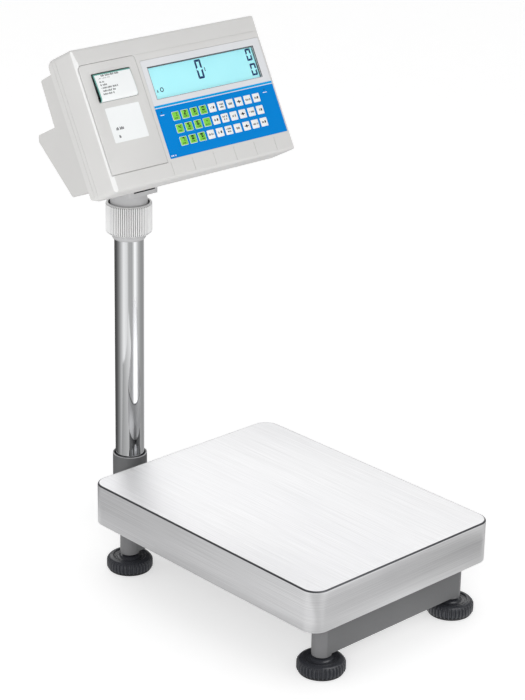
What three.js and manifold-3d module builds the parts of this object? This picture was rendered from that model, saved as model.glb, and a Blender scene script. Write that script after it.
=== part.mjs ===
// Bench scale: lift-off weighing pan on a single-point load cell, base frame on four
// levelling feet, and a label-printing indicator that swivels and tilts on a column.
// Millimetres. X to the right, Y to the back, Z up from the floor.
import * as THREE from 'three';
import { mergeVertices } from 'three/addons/utils/BufferGeometryUtils.js';
import Module from 'manifold-3d';

const wasm = await Module();
wasm.setup();

// ---- driving dimensions -------------------------------------------------------------
const GAP = 0.3; // clearance between pieces that touch
const PAN_TOP = 122;
const PAN = { width: 300, depth: 400, skirt: 53, corner: 20.5, fold: 2.4, sheet: 1.2 };
const FRAME = { legX: 110, legY: 173, legR: 12, bottom: 22, beamBottom: 25.5, top: 64, wall: 3 };
const COLUMN = { y: 304.3, radius: 19, wall: 1.7, bottom: 40.3, top: 429.5 };
const SOCKET = { radius: 22.6, bottom: 34, top: 83.5, bore: 19.4, lip: 20.8 };
const FOOT = { radius: 29, ribs: 24, ribTop: 13.4, studRadius: 5, studTop: 50, pad: 3 };
const COLLAR = { radius: 29.7, ribs: 30, bottom: 390, top: 431, opening: 26.5 };
const HUB = { bottom: 382, top: 445, lip: 22.2, thread: 23.4, neck: 22.7 };
const NECK = { halfWidth: 23.4, front: 274, back: 326, top: 461, ear: 12.6 };
const TILT = { y: 298, z: 490, pin: 5 };
const HEAD = { lean: 28.1, y: 105.3, z: 422, half: 145.5, backHalf: 144.3, wall: 3,
  frontDepth: 52.3, bottom: 97.4, top: 274.1 };
const OVERLAY = { x0: -52.5, x1: 139, s0: 121.6, s1: 243.6 };
const DISPLAY = { x0: -44, x1: 126, s0: 194.6, s1: 233.8 };
const COVER = { x0: -142.8, x1: -58.4, s0: 118.2, s1: 252.2, thick: 3 };
const WINDOW = { x0: -129, x1: -69.8, s0: 204.5, s1: 240 };
const ROLL = { x: -100, t: 48, s: 158, radius: 27, width: 56, bore: 9 };
const PLATEN = { t: 13.5, s: 200, radius: 6, shaft: 2 };
const CELL = { bottom: 68, top: 103, half: 75, width: 20 };
const SPIDER = { top: 114.5, plate: 4, depth: 13, halfX: 125, halfY: 178, armWidth: 36, spine: 40 };
// the frame's origin is the middle of the whole object's footprint: front feet to clamp collar
const ORIGIN_Y = (-FRAME.legY - FOOT.radius + COLUMN.y + COLLAR.radius) / 2;

// ---- materials ----------------------------------------------------------------------
const paint = (color, roughness, metalness = 0, extra = {}) =>
  new THREE.MeshStandardMaterial({ color, roughness, metalness, ...extra });
const MATERIALS = {
  stainless: paint(0xd2d3d4, 0.32, 1),
  chrome: paint(0xe2e4e6, 0.08, 1),
  frame: paint(0x7f8082, 0.55),
  socket: paint(0x68696b, 0.6),
  zinc: paint(0xb9bcc0, 0.35, 1),
  aluminium: paint(0xc6c8ca, 0.35, 1),
  rubber: paint(0x202226, 0.8),
  foot: paint(0x24262a, 0.45),
  collar: paint(0xbfc0c0, 0.5),
  neck: paint(0xb3b4b4, 0.5),
  housing: paint(0xdddcda, 0.5),
  overlay: paint(0x0a7bd6, 0.35),
  lens: paint(0xb2f5ff, 0.1, 0, { transparent: true, opacity: 0.5 }),
  lcd: paint(0xa6eef8, 0.3),
  board: paint(0x1f6b3a, 0.5),
  dark: paint(0x2b2d30, 0.5),
  paper: paint(0xf7f7f5, 0.8),
  vial: paint(0xb9dc62, 0.1),
};

// ---- solids -------------------------------------------------------------------------
function signedVolume(geometry) {
  const p = geometry.attributes.position;
  const i = geometry.index;
  const [a, b, c] = [new THREE.Vector3(), new THREE.Vector3(), new THREE.Vector3()];
  let total = 0;
  for (let k = 0; k < i.count; k += 3) {
    a.fromBufferAttribute(p, i.getX(k));
    b.fromBufferAttribute(p, i.getX(k + 1));
    c.fromBufferAttribute(p, i.getX(k + 2));
    total += a.dot(b.cross(c)) / 6;
  }
  return total;
}

function solid(geometry) {
  geometry.deleteAttribute('normal');
  geometry.deleteAttribute('uv');
  const merged = mergeVertices(geometry, 1e-4);
  const index = Array.from(merged.index.array);
  if (signedVolume(merged) < 0) {
    for (let k = 0; k < index.length; k += 3) [index[k], index[k + 1]] = [index[k + 1], index[k]];
  }
  return new wasm.Manifold(new wasm.Mesh({
    numProp: 3,
    vertProperties: new Float32Array(merged.attributes.position.array),
    triVerts: new Uint32Array(index),
  }));
}

function join(first, ...rest) {
  return rest.reduce((sum, piece) => sum.add(piece), first);
}

function cut(first, ...rest) {
  return rest.reduce((left, piece) => left.subtract(piece), first);
}

function move(body, x, y, z) {
  return body.translate([x, y, z]);
}

function outline(points) {
  return new THREE.Shape(points.map(([a, b]) => new THREE.Vector2(a, b)));
}

function roundedRect(x0, y0, x1, y1, radius, steps = 4) {
  const points = [];
  const corners = [[x1 - radius, y0 + radius, -90], [x1 - radius, y1 - radius, 0],
    [x0 + radius, y1 - radius, 90], [x0 + radius, y0 + radius, 180]];
  for (const [cx, cy, start] of corners) {
    for (let k = 0; k <= steps; k++) {
      const angle = THREE.MathUtils.degToRad(start + 90 * k / steps);
      points.push([cx + radius * Math.cos(angle), cy + radius * Math.sin(angle)]);
    }
  }
  return outline(points);
}

function circle(radius, count, cx = 0, cy = 0) {
  const points = [];
  for (let k = 0; k < count; k++) {
    const angle = 2 * Math.PI * k / count;
    points.push([cx + radius * Math.cos(angle), cy + radius * Math.sin(angle)]);
  }
  return outline(points);
}

/** A shape in X and Y, extruded from z0 to z1. */
function prismZ(shape, z0, z1) {
  const geometry = new THREE.ExtrudeGeometry(shape, { depth: z1 - z0, bevelEnabled: false });
  return solid(geometry.translate(0, 0, z0));
}

/** A shape in Y and Z, extruded from x0 to x1. */
function prismX(shape, x0, x1) {
  const geometry = new THREE.ExtrudeGeometry(shape, { depth: x1 - x0, bevelEnabled: false });
  const turn = new THREE.Matrix4().makeBasis(
    new THREE.Vector3(0, 1, 0), new THREE.Vector3(0, 0, 1), new THREE.Vector3(1, 0, 0));
  return solid(geometry.applyMatrix4(turn).translate(x0, 0, 0));
}

/** A shape in X and Z, extruded from y0 to y1. */
function prismY(shape, y0, y1) {
  const geometry = new THREE.ExtrudeGeometry(shape, { depth: y1 - y0, bevelEnabled: false });
  return solid(geometry.rotateX(Math.PI / 2).translate(0, y1, 0));
}

function block(x0, x1, y0, y1, z0, z1) {
  const box = new THREE.BoxGeometry(x1 - x0, y1 - y0, z1 - z0);
  return solid(box.translate((x0 + x1) / 2, (y0 + y1) / 2, (z0 + z1) / 2));
}

const rodZ = (radius, z0, z1, count = 16) => prismZ(circle(radius, count), z0, z1);
const rodX = (radius, x0, x1, count = 16) => prismX(circle(radius, count), x0, x1);
const rodY = (radius, y0, y1, count = 16) => prismY(circle(radius, count), y0, y1);

/** A profile of [radius, z] points turned about Z. */
function turned(profile, count = 32) {
  const closed = profile[0][0] > 0 ? [...profile, profile[0]] : profile;
  const lathe = new THREE.LatheGeometry(closed.map(([r, z]) => new THREE.Vector2(r, z)), count);
  return solid(lathe.rotateX(Math.PI / 2));
}

/** A ring of ribs: flat crests and valleys round a circle. */
function ribbedDisc(crest, valley, ribs, z0, z1) {
  const points = [];
  const shares = [[0.1, valley], [0.3, crest], [0.7, crest], [0.9, valley]];
  for (let k = 0; k < ribs; k++) {
    for (const [share, radius] of shares) {
      const angle = 2 * Math.PI * (k + share) / ribs;
      points.push([radius * Math.cos(angle), radius * Math.sin(angle)]);
    }
  }
  return prismZ(outline(points), z0, z1);
}

/** Screw along +Z with its head at the top, or at the bottom with headUp false. */
function capScrew(shank, length, head, headHeight, headUp = true) {
  const socket = prismZ(circle(head * 0.5, 6), headHeight * 0.45, headHeight + 1);
  const screw = join(rodZ(head, 0, headHeight), rodZ(shank, -length, 0.1, 16));
  const bored = cut(screw, socket);
  return headUp ? bored : bored.rotate([180, 0, 0]);
}

// ---- scene graph --------------------------------------------------------------------
const group = new THREE.Group();
const base = new THREE.Group();
base.position.set(0, -ORIGIN_Y, 0);
group.add(base);

// the head's own frame: X as before, Y into the head, Z up its front panel
const head = new THREE.Group();
head.position.set(0, HEAD.y, HEAD.z);
head.rotation.x = -THREE.MathUtils.degToRad(HEAD.lean);
base.add(head);

function add(parent, name, material, body) {
  const { vertProperties, triVerts, numProp } = body.getMesh();
  const positions = new Float32Array(vertProperties.length / numProp * 3);
  for (let v = 0; v < positions.length / 3; v++) {
    for (let k = 0; k < 3; k++) positions[3 * v + k] = vertProperties[numProp * v + k];
  }
  const geometry = new THREE.BufferGeometry();
  geometry.setAttribute('position', new THREE.BufferAttribute(positions, 3));
  geometry.setIndex(new THREE.BufferAttribute(new Uint32Array(triVerts), 1));
  geometry.computeVertexNormals();
  const mesh = new THREE.Mesh(geometry, MATERIALS[material]);
  mesh.name = name;
  parent.add(mesh);
}

const CORNERS = [['fl', -1, -1], ['fr', 1, -1], ['rl', -1, 1], ['rr', 1, 1]];

// ---- base frame ---------------------------------------------------------------------
function crossbeam(side) {
  const { legX, legY, legR, bottom, beamBottom, top, wall } = FRAME;
  const y = side * legY;
  const beam = (inset, z0, z1) => prismZ(roundedRect(
    -legX - legR + inset, y - legR + inset, legX + legR - inset, y + legR - inset,
    legR - inset - 0.01, 5), z0, z1);
  let body = cut(beam(0, beamBottom, top), beam(wall, beamBottom - 1, top - wall));
  for (const x of [-legX, legX]) body = body.add(move(rodZ(legR, bottom, top, 20), x, y, 0));
  for (const x of [-legX, legX]) {
    body = body.subtract(move(rodZ(FOOT.studRadius + GAP, bottom - 1, top - 8), x, y, 0));
  }
  return body;
}
add(base, 'front_crossbeam', 'frame', crossbeam(-1));

// the rear crossbeam takes the two bolts of the column bracket
const BRACKET_BOLT = { x: 45, z: 45, radius: 4 };
add(base, 'rear_crossbeam', 'frame', cut(crossbeam(1), ...[-1, 1].map((side) => move(
  rodY(BRACKET_BOLT.radius + GAP, FRAME.legY, FRAME.legY + FRAME.legR + 1),
  side * BRACKET_BOLT.x, 0, BRACKET_BOLT.z))));

const SPINE = { half: 45, top: 61.7, bottom: 30, wall: 3 };
const CELL_BOLTS = [45, 65]; // distances of the bolts from the load cell's middle
{
  const end = FRAME.legY - FRAME.legR - GAP;
  const channel = cut(
    block(-SPINE.half, SPINE.half, -end, end, SPINE.bottom, SPINE.top),
    block(-SPINE.half + SPINE.wall, SPINE.half - SPINE.wall, -end - 1, end + 1,
      SPINE.bottom - 1, SPINE.top - SPINE.wall));
  const holes = CELL_BOLTS.map((y) => move(rodZ(4 + GAP, SPINE.top - 10, SPINE.top + 1), 0, y, 0));
  add(base, 'spine_channel', 'frame', cut(channel, ...holes));
}

// ---- load cell and pan support ------------------------------------------------------
{
  const { bottom, top, half, width } = CELL;
  const middle = (bottom + top) / 2;
  const eyes = join(
    move(rodX(12, -width - 1, width + 1, 20), 0, -16, middle),
    move(rodX(12, -width - 1, width + 1, 20), 0, 16, middle),
    block(-width - 1, width + 1, -16, 16, middle - 4, middle + 4));
  const holes = CELL_BOLTS.flatMap((y) => [
    move(rodZ(4 + GAP, bottom - 1, top - 8), 0, y, 0),
    move(rodZ(4 + GAP, bottom + 8, top + 1), 0, -y, 0)]);
  add(base, 'load_cell', 'aluminium',
    cut(block(-width, width, -half, half, bottom, top), eyes, ...holes));
}
const spacer = (y0, y1, z0, z1, sign) => cut(
  block(-19, 19, y0, y1, z0, z1),
  ...CELL_BOLTS.map((y) => move(rodZ(4 + GAP, z0 - 1, z1 + 1), 0, sign * y, 0)));
add(base, 'lower_spacer', 'zinc', spacer(36, 74, SPINE.top + GAP, CELL.bottom - GAP, 1));
add(base, 'upper_spacer', 'zinc',
  spacer(-74, -36, CELL.top + GAP, SPIDER.top - SPIDER.plate - GAP, -1));
CELL_BOLTS.forEach((y, k) => {
  add(base, `upper_bolt_${k + 1}`, 'zinc',
    move(capScrew(4, 34, 6.5, 4.5), 0, -y, SPIDER.top + GAP));
  add(base, `lower_bolt_${k + 1}`, 'zinc',
    move(capScrew(4, 34, 6.5, 7, false), 0, y, SPINE.top - SPINE.wall - GAP));
});

const BUMPER = { x: 112, y: 160, radius: 9, stem: 3.7 };
const STOP = { x: 84, y: 169, radius: 4 };
{
  const tray = (inset, z0, z1) => {
    const { halfX, halfY, armWidth, spine } = SPIDER;
    const arm = (y0, y1) => prismZ(
      roundedRect(-halfX + inset, y0 + inset, halfX - inset, y1 - inset, 8 - inset, 2), z0, z1);
    const stem = block(-spine + inset, spine - inset, -halfY + armWidth / 2, halfY - armWidth / 2,
      z0, z1);
    return join(stem, arm(-halfY, -halfY + armWidth), arm(halfY - armWidth, halfY));
  };
  const bottom = SPIDER.top - SPIDER.depth;
  const holes = [
    ...CELL_BOLTS.map((y) => move(rodZ(4 + GAP, bottom, SPIDER.top + 1), 0, -y, 0)),
    ...CORNERS.map(([, sx, sy]) => move(
      rodZ(BUMPER.stem + GAP, bottom, SPIDER.top + 1), sx * BUMPER.x, sy * BUMPER.y, 0))];
  add(base, 'spider', 'frame', cut(
    tray(0, bottom, SPIDER.top), tray(3, bottom - 1, SPIDER.top - SPIDER.plate), ...holes));
}
for (const [name, sx, sy] of CORNERS) {
  const bumper = turned([[0, 106], [BUMPER.stem, 106], [BUMPER.stem, SPIDER.top + GAP],
    [BUMPER.radius, SPIDER.top + GAP], [BUMPER.radius, 119.2],
    [BUMPER.radius - 1.6, PAN_TOP - PAN.sheet - GAP], [0, PAN_TOP - PAN.sheet - GAP]], 16);
  add(base, `pan_bumper_${name}`, 'rubber', move(bumper, sx * BUMPER.x, sy * BUMPER.y, 0));
  const stop = join(rodZ(STOP.radius, FRAME.top + GAP, SPIDER.top - SPIDER.plate - 1.2, 12),
    prismZ(circle(7.5, 6), FRAME.top + GAP, FRAME.top + GAP + 6));
  add(base, `overload_stop_${name}`, 'zinc', move(stop, sx * STOP.x, sy * STOP.y, 0));
}

// ---- weighing pan -------------------------------------------------------------------
{
  const { width, depth, skirt, corner, fold, sheet } = PAN;
  const shell = (inset, top, bottom) => {
    const rect = (more) => roundedRect(-width / 2 + inset + more, -depth / 2 + inset + more,
      width / 2 - inset - more, depth / 2 - inset - more, corner - inset - more, 5);
    const radius = fold - inset;
    let body = prismZ(rect(0), bottom, top - radius);
    const steps = 2;
    for (let k = 1; k <= steps; k++) {
      const low = Math.PI / 2 * (k - 1) / steps;
      const high = Math.PI / 2 * k / steps;
      const shrink = radius * (1 - Math.cos((low + high) / 2));
      body = body.add(prismZ(rect(shrink), top - radius + radius * Math.sin(low) - 0.01,
        top - radius + radius * Math.sin(high)));
    }
    return body;
  };
  add(base, 'pan', 'stainless',
    cut(shell(0, PAN_TOP, PAN_TOP - skirt), shell(sheet, PAN_TOP - sheet, PAN_TOP - skirt - 1)));
}

// ---- levelling feet -----------------------------------------------------------------
for (const [name, sx, sy] of CORNERS) {
  const { radius, ribs, ribTop, studRadius, studTop, pad } = FOOT;
  const low = pad + GAP;
  const disc = turned([[0, low], [radius - 1.4, low], [radius - 1.4, ribTop], [24.6, 17.8],
    [20.4, 18.2], [19.4, 16.6], [12.6, 16.4], [8, 19.4], [studRadius, 19.6],
    [studRadius, studTop - 1], [studRadius - 1, studTop], [0, studTop]], 24);
  const knob = join(disc, ribbedDisc(radius, radius - 2.2, ribs, low + 1, ribTop - 1));
  add(base, `foot_disc_${name}`, 'foot', move(knob, sx * FRAME.legX, sy * FRAME.legY, 0));
  const sole = turned([[0, 0], [radius - 3, 0], [radius - 1.6, 1.2], [radius - 1.6, pad],
    [0, pad]], 24);
  add(base, `foot_pad_${name}`, 'rubber', move(sole, sx * FRAME.legX, sy * FRAME.legY, 0));
}

// ---- column -------------------------------------------------------------------------
{
  const face = FRAME.legY + FRAME.legR + GAP;
  const arm = cut(block(-24, 24, face + 3, COLUMN.y - 8, 36, FRAME.top),
    block(-21, 21, face + 6, COLUMN.y - SOCKET.radius - 1, 35, FRAME.top - 3));
  const cup = move(cut(
    rodZ(SOCKET.radius, SOCKET.bottom, SOCKET.top, 28),
    rodZ(9, SOCKET.bottom - 1, SOCKET.top)), 0, COLUMN.y, 0);
  const bore = move(join(
    rodZ(SOCKET.bore, COLUMN.bottom - GAP, SOCKET.top - 2, 28),
    turned([[0, SOCKET.top - 3], [SOCKET.bore, SOCKET.top - 3], [SOCKET.lip, SOCKET.top - 1],
      [SOCKET.lip, SOCKET.top + 1], [0, SOCKET.top + 1]], 28)), 0, COLUMN.y, 0);
  const drain = move(rodZ(9, SOCKET.bottom - 1, COLUMN.bottom + 5), 0, COLUMN.y, 0);
  const plate = prismY(roundedRect(-60, 27, 60, 63, 5, 4), face, face + 6);
  const bolts = [-1, 1].map((side) => move(
    rodY(BRACKET_BOLT.radius + GAP, face - 1, face + 7), side * BRACKET_BOLT.x, 0, BRACKET_BOLT.z));
  const screw = move(rodY(3 + GAP, COLUMN.y, COLUMN.y + 30), 0, 0, 60);
  add(base, 'column_bracket', 'socket', cut(join(plate, arm, cup), bore, drain, screw, ...bolts));
  [-1, 1].forEach((side, k) => {
    const bolt = capScrew(BRACKET_BOLT.radius, 14, 7, 5).rotate([-90, 0, 0]);
    add(base, `bracket_bolt_${k + 1}`, 'zinc',
      move(bolt, side * BRACKET_BOLT.x, face + 6 + GAP, BRACKET_BOLT.z));
  });
  const grub = capScrew(3, SOCKET.radius - COLUMN.radius - 0.1, 5, 4).rotate([-90, 0, 0]);
  add(base, 'column_screw', 'zinc', move(grub, 0, COLUMN.y + SOCKET.radius + GAP, 60));
}
add(base, 'column_tube', 'chrome', move(cut(
  rodZ(COLUMN.radius, COLUMN.bottom, COLUMN.top, 32),
  rodZ(COLUMN.radius - COLUMN.wall, COLUMN.bottom - 1, COLUMN.top + 1, 24)), 0, COLUMN.y, 0));
add(base, 'bubble_level', 'vial', move(
  turned([[0, 0], [11, 0], [11, 7], [9.5, 8.5], [8, 7.2], [0, 7.8]], 20),
  0, 232, FRAME.top + GAP));

// ---- head swivel --------------------------------------------------------------------
{
  const { bottom, top, lip, thread, neck } = HUB;
  const bore = COLUMN.radius + GAP;
  const sleeve = turned([[bore, bottom], [bore + 1, bottom], [lip, bottom + 4],
    [lip, COLLAR.bottom + 1], [thread, COLLAR.bottom + 3], [thread, COLLAR.top - 6], [24, COLLAR.top],
    [neck, top], [8, top], [8, COLUMN.top + GAP], [bore, COLUMN.top + GAP]], 32);
  const slit = block(-1, 1, 0, 40, bottom - 1, bottom + 30);
  add(base, 'swivel_hub', 'neck', move(cut(sleeve, slit), 0, COLUMN.y, 0));
  const wall = COLLAR.radius - 0.9;
  const nut = turned([[thread + GAP, COLLAR.bottom], [wall - 1.2, COLLAR.bottom],
    [wall, COLLAR.bottom + 1.2], [wall, COLLAR.top - 1.4], [wall - 1.2, COLLAR.top],
    [COLLAR.opening, COLLAR.top], [COLLAR.opening - 0.4, COLLAR.top - 14],
    [thread + GAP, COLLAR.top - 15]], 32);
  const ribs = cut(ribbedDisc(COLLAR.radius, COLLAR.radius - 2, COLLAR.ribs, COLLAR.bottom + 2,
    COLLAR.top - 2.4), rodZ(COLLAR.opening + 0.8, COLLAR.bottom, COLLAR.top, 32));
  add(base, 'clamp_collar', 'collar', move(join(nut, ribs), 0, COLUMN.y, 0));
  add(base, 'collet_ring', 'collar', move(turned([[thread + GAP, COLLAR.top - 13.6],
    [25.6, COLLAR.top - 13.6], [25.6, COLLAR.top - 8], [thread + GAP, COLLAR.top - 8]], 24),
  0, COLUMN.y, 0));
}

// ---- tilting neck -------------------------------------------------------------------
{
  const { halfWidth, front, back, top, ear } = NECK;
  const foot = prismZ(roundedRect(-halfWidth, front, halfWidth, back, 4, 4), HUB.top + GAP, top);
  const cheeks = prismX(outline([[281, top - 0.5], [315, top - 0.5], [315, TILT.z], [281, TILT.z]]),
    -halfWidth, halfWidth);
  const round = move(rodX(17, -halfWidth, halfWidth, 28), 0, TILT.y, TILT.z);
  const between = block(-ear, ear, front - 1, back + 1, top, TILT.z + 30);
  const pinHole = move(rodX(TILT.pin + GAP, -halfWidth - 1, halfWidth + 1), 0, TILT.y, TILT.z);
  const slot = block(-17, 17.5, front - 1, front + 3, 451.8, 454);
  const cableHole = move(rodZ(8, HUB.top, top + 1), 0, COLUMN.y, 0);
  add(base, 'neck_bracket', 'neck',
    cut(join(foot, cheeks, round), between, pinHole, slot, cableHole));
  const hex = (x0, x1) => rodX(8, x0, x1, 6);
  const bolt = join(hex(-halfWidth - 6.3, -halfWidth - GAP), rodX(TILT.pin, -halfWidth - 1, 29.7));
  add(base, 'tilt_bolt', 'zinc', move(bolt, 0, TILT.y, TILT.z));
  const nut = cut(hex(halfWidth + GAP, halfWidth + 5.3), rodX(TILT.pin + GAP, halfWidth, 31));
  add(base, 'tilt_nut', 'zinc', move(nut, 0, TILT.y, TILT.z));
}

// ---- head: shells -------------------------------------------------------------------
// from here on the second coordinate is t, into the head, and the third is s, up its panel
const FRONT_PROFILE = [[0, 102.8], [1.2, 100.4], [3.4, 98.7], [7.3, 98], [43.4, HEAD.bottom],
  [HEAD.frontDepth, 102.2], [HEAD.frontDepth, 266.6], [46.5, HEAD.top], [4.4, 272.3], [1.3, 270.6],
  [0, 267.6]];
const UNDERSIDE = [[86.5, 113.9], [117.9, 192.5]];
const BACK_START = HEAD.frontDepth + GAP;
const BACK_PROFILE = [[BACK_START, 111.5], UNDERSIDE[0], UNDERSIDE[1], [113.8, 199.8],
  [78.5, 199.6], [76.4, 257.4], [BACK_START, 258.3]];
const POSTS = [[-1, 123], [1, 123], [-1, 247], [1, 247]];
const POST = { x: 133, radius: 4.5, front: 25, seat: 58 };
const LIP = 6.3; // depth of the front shell's inward rim, which the back shell butts against

{
  const { half, wall, frontDepth } = HEAD;
  const side = 4; // how far the front's bevelled sides lean in
  const block3 = (inset) => {
    const profile = FRONT_PROFILE.map(([t, s]) => [
      Math.max(t, inset), Math.min(Math.max(s, HEAD.bottom + inset), HEAD.top - inset)]);
    const body = prismX(outline(profile), -half + inset, half - inset);
    const plan = outline([[-half + inset, frontDepth + 1], [-half + inset, inset + side],
      [-half + inset + 1.2, inset + 1.2], [-half + inset + side, inset], [half - inset - side, inset],
      [half - inset - 1.2, inset + 1.2], [half - inset, inset + side],
      [half - inset, frontDepth + 1]]);
    return body.intersect(prismZ(plan, 90, 290));
  };
  const cavity = cut(block3(wall), block(-half, half, frontDepth - LIP, frontDepth + 2, 90, 290));
  const rearOpening = block(-HEAD.backHalf + 5.7, HEAD.backHalf - 5.7, frontDepth - LIP - 1,
    frontDepth + 1, 114, 256);
  const posts = POSTS.map(([sx, s]) => join(
    move(rodY(POST.radius, POST.front, frontDepth, 12), sx * POST.x, 0, s),
    block(Math.min(sx * POST.x, sx * (half - 2)), Math.max(sx * POST.x, sx * (half - 2)),
      POST.front, frontDepth - 1, s - 1.5, s + 1.5)));
  const postHoles = POSTS.map(([sx, s]) => move(
    rodY(1.8, POST.front + 6, frontDepth + 1, 12), sx * POST.x, 0, s));
  const pocket = block(OVERLAY.x0 - 0.4, OVERLAY.x1 + 0.4, -1, 1.2, OVERLAY.s0 - 0.4, OVERLAY.s1 + 0.4);
  const displayHole = block(DISPLAY.x0 - 2.3, DISPLAY.x1 + 2.3, -1, 4, DISPLAY.s0 - 2.3,
    DISPLAY.s1 + 2.3);
  const bay = prismY(roundedRect(COVER.x0 - 0.4, COVER.s0 - 0.4, COVER.x1 + 0.4, COVER.s1 + 0.4,
    5, 4), -1, wall + 1);
  const bayFoot = block(COVER.x0 - 0.4, COVER.x1 + 0.4, -1, wall + 1, COVER.s0 - 0.4, 130);
  const pins = move(rodX(1.5, COVER.x0 - 1.7, COVER.x1 + 1.7, 12), 0, COVER.thick / 2,
    COVER.s0 + COVER.thick / 2);
  const grooves = [-54.3, -20.6, 13, 46.6, 80.2, 113.8].map((x) =>
    block(x - 0.4, x + 0.4, -1, 0.8, 101.5, 118.2));
  add(head, 'front_shell', 'housing', cut(join(cut(block3(0), cavity, rearOpening), ...posts),
    pocket, displayHole, bay, bayFoot, pins, ...grooves, ...postHoles));
}

const PORT = { x0: 59, x1: 91, s0: 220, s1: 234 };
const INLET = { x: 112, s: 227, radius: 5.5 };
const GLAND = { x: 62, t: 68, radius: 6 };
{
  const { backHalf, wall } = HEAD;
  const outer = prismX(outline(BACK_PROFILE), -backHalf, backHalf);
  const inner = prismX(outline([[BACK_START - 1, 111.5 + wall], [84.4, 117], [114, 191.2],
    [112.2, 196.7], [75.4, 196.7], [73.5, 254.4], [BACK_START - 1, 255.3]]),
  -backHalf + wall, backHalf - wall);
  const reach = ([, s]) => (s > 200 ? 77 : 89.5);
  const tubes = POSTS.map(([sx, s]) => move(
    rodY(6, BACK_START, reach([0, s]) - 1, 12), sx * POST.x, 0, s));
  const wells = POSTS.map(([sx, s]) => join(
    move(rodY(4.2, POST.seat, 130, 12), sx * POST.x, 0, s),
    move(rodY(1.8, BACK_START - 1, POST.seat + 1, 12), sx * POST.x, 0, s)));
  const clip = block(-backHalf, backHalf, BACK_START, 130, 111.5, 258.3);
  const tubesInside = tubes.map((tube) => tube.intersect(clip));
  const ports = [
    block(PORT.x0 - GAP, PORT.x1 + GAP, 70, 80, PORT.s0 - GAP, PORT.s1 + GAP),
    move(rodY(INLET.radius + GAP, 70, 80, 16), INLET.x, 0, INLET.s),
    move(rodZ(GLAND.radius + GAP, 108, 118, 16), GLAND.x, GLAND.t, 0)];
  add(head, 'back_shell', 'housing',
    cut(join(cut(outer, inner), ...tubesInside), ...wells, ...ports));
}
POSTS.forEach(([sx, s], k) => {
  const screw = capScrew(1.5, 20, 3.4, 2.6).rotate([-90, 0, 0]);
  add(head, `shell_screw_${k + 1}`, 'zinc', move(screw, sx * POST.x, POST.seat + GAP, s));
});

// ---- head: tilt plate ---------------------------------------------------------------
{
  const [[t0, s0], [t1, s1]] = UNDERSIDE;
  const length = Math.hypot(t1 - t0, s1 - s0);
  const along = [(t1 - t0) / length, (s1 - s0) / length];
  const out = [along[1], -along[0]];
  const lean = THREE.MathUtils.degToRad(HEAD.lean);
  const [dy, dz] = [TILT.y - HEAD.y, TILT.z - HEAD.z];
  const pin = [dy * Math.cos(lean) - dz * Math.sin(lean), dy * Math.sin(lean) + dz * Math.cos(lean)];
  const reach = (pin[0] - t0) * along[0] + (pin[1] - s0) * along[1];
  const at = (a, o) => [t0 + a * along[0] + o * out[0], s0 + a * along[1] + o * out[1]];
  const plate = prismX(outline([at(reach - 28, GAP), at(reach + 26, GAP), at(reach + 26, 5.3),
    at(reach - 28, 5.3)]), -32, 32);
  const web = prismX(outline([at(reach - 18, 5), at(reach + 18, 5), at(reach + 14, 34),
    at(reach - 14, 34)]), -NECK.ear + GAP, NECK.ear - GAP);
  const knuckle = move(rodX(15, -NECK.ear + GAP, NECK.ear - GAP, 28), 0, pin[0], pin[1]);
  const hole = move(rodX(TILT.pin + GAP, -NECK.ear - 1, NECK.ear + 1), 0, pin[0], pin[1]);
  add(head, 'tilt_plate', 'neck', cut(join(plate, web, knuckle), hole));
}

// ---- head: display and keypad -------------------------------------------------------
{
  const { x0, x1, s0, s1 } = DISPLAY;
  add(head, 'keypad_overlay', 'overlay', cut(
    block(OVERLAY.x0, OVERLAY.x1, 0.1, 0.9, OVERLAY.s0, OVERLAY.s1),
    block(x0, x1, -1, 2, s0, s1)));
  add(head, 'display_lens', 'lens', block(x0 - 2, x1 + 2, 1.2, 2.9, s0 - 2, s1 + 2));
  add(head, 'lcd_module', 'lcd', block(x0 - 6, x1 + 6, 3.3, 12, s0 - 6, s1 + 6));
  add(head, 'main_board', 'board', block(-52, 130, 18, 19.6, 108, 262));
  add(head, 'battery', 'dark', block(20, 120, 52, 84, 128, 183));
}

// ---- head: rear connections ---------------------------------------------------------
add(head, 'serial_port', 'zinc', cut(
  block(PORT.x0, PORT.x1, 66, 83, PORT.s0, PORT.s1),
  block(PORT.x0 + 3, PORT.x1 - 3, 72, 84, PORT.s0 + 2, PORT.s1 - 2)));
add(head, 'power_inlet', 'dark', move(cut(
  rodY(INLET.radius, 66, 79.5), cut(rodY(3.2, 70, 81), rodY(1, 69, 78.5, 12))), INLET.x, 0, INLET.s));
add(head, 'cable_gland', 'dark', move(cut(
  join(rodZ(GLAND.radius, 101, 118), prismZ(circle(8.5, 6), 105, 110.8)),
  rodZ(3.4, 100, 119)), GLAND.x, GLAND.t, 0));

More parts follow.
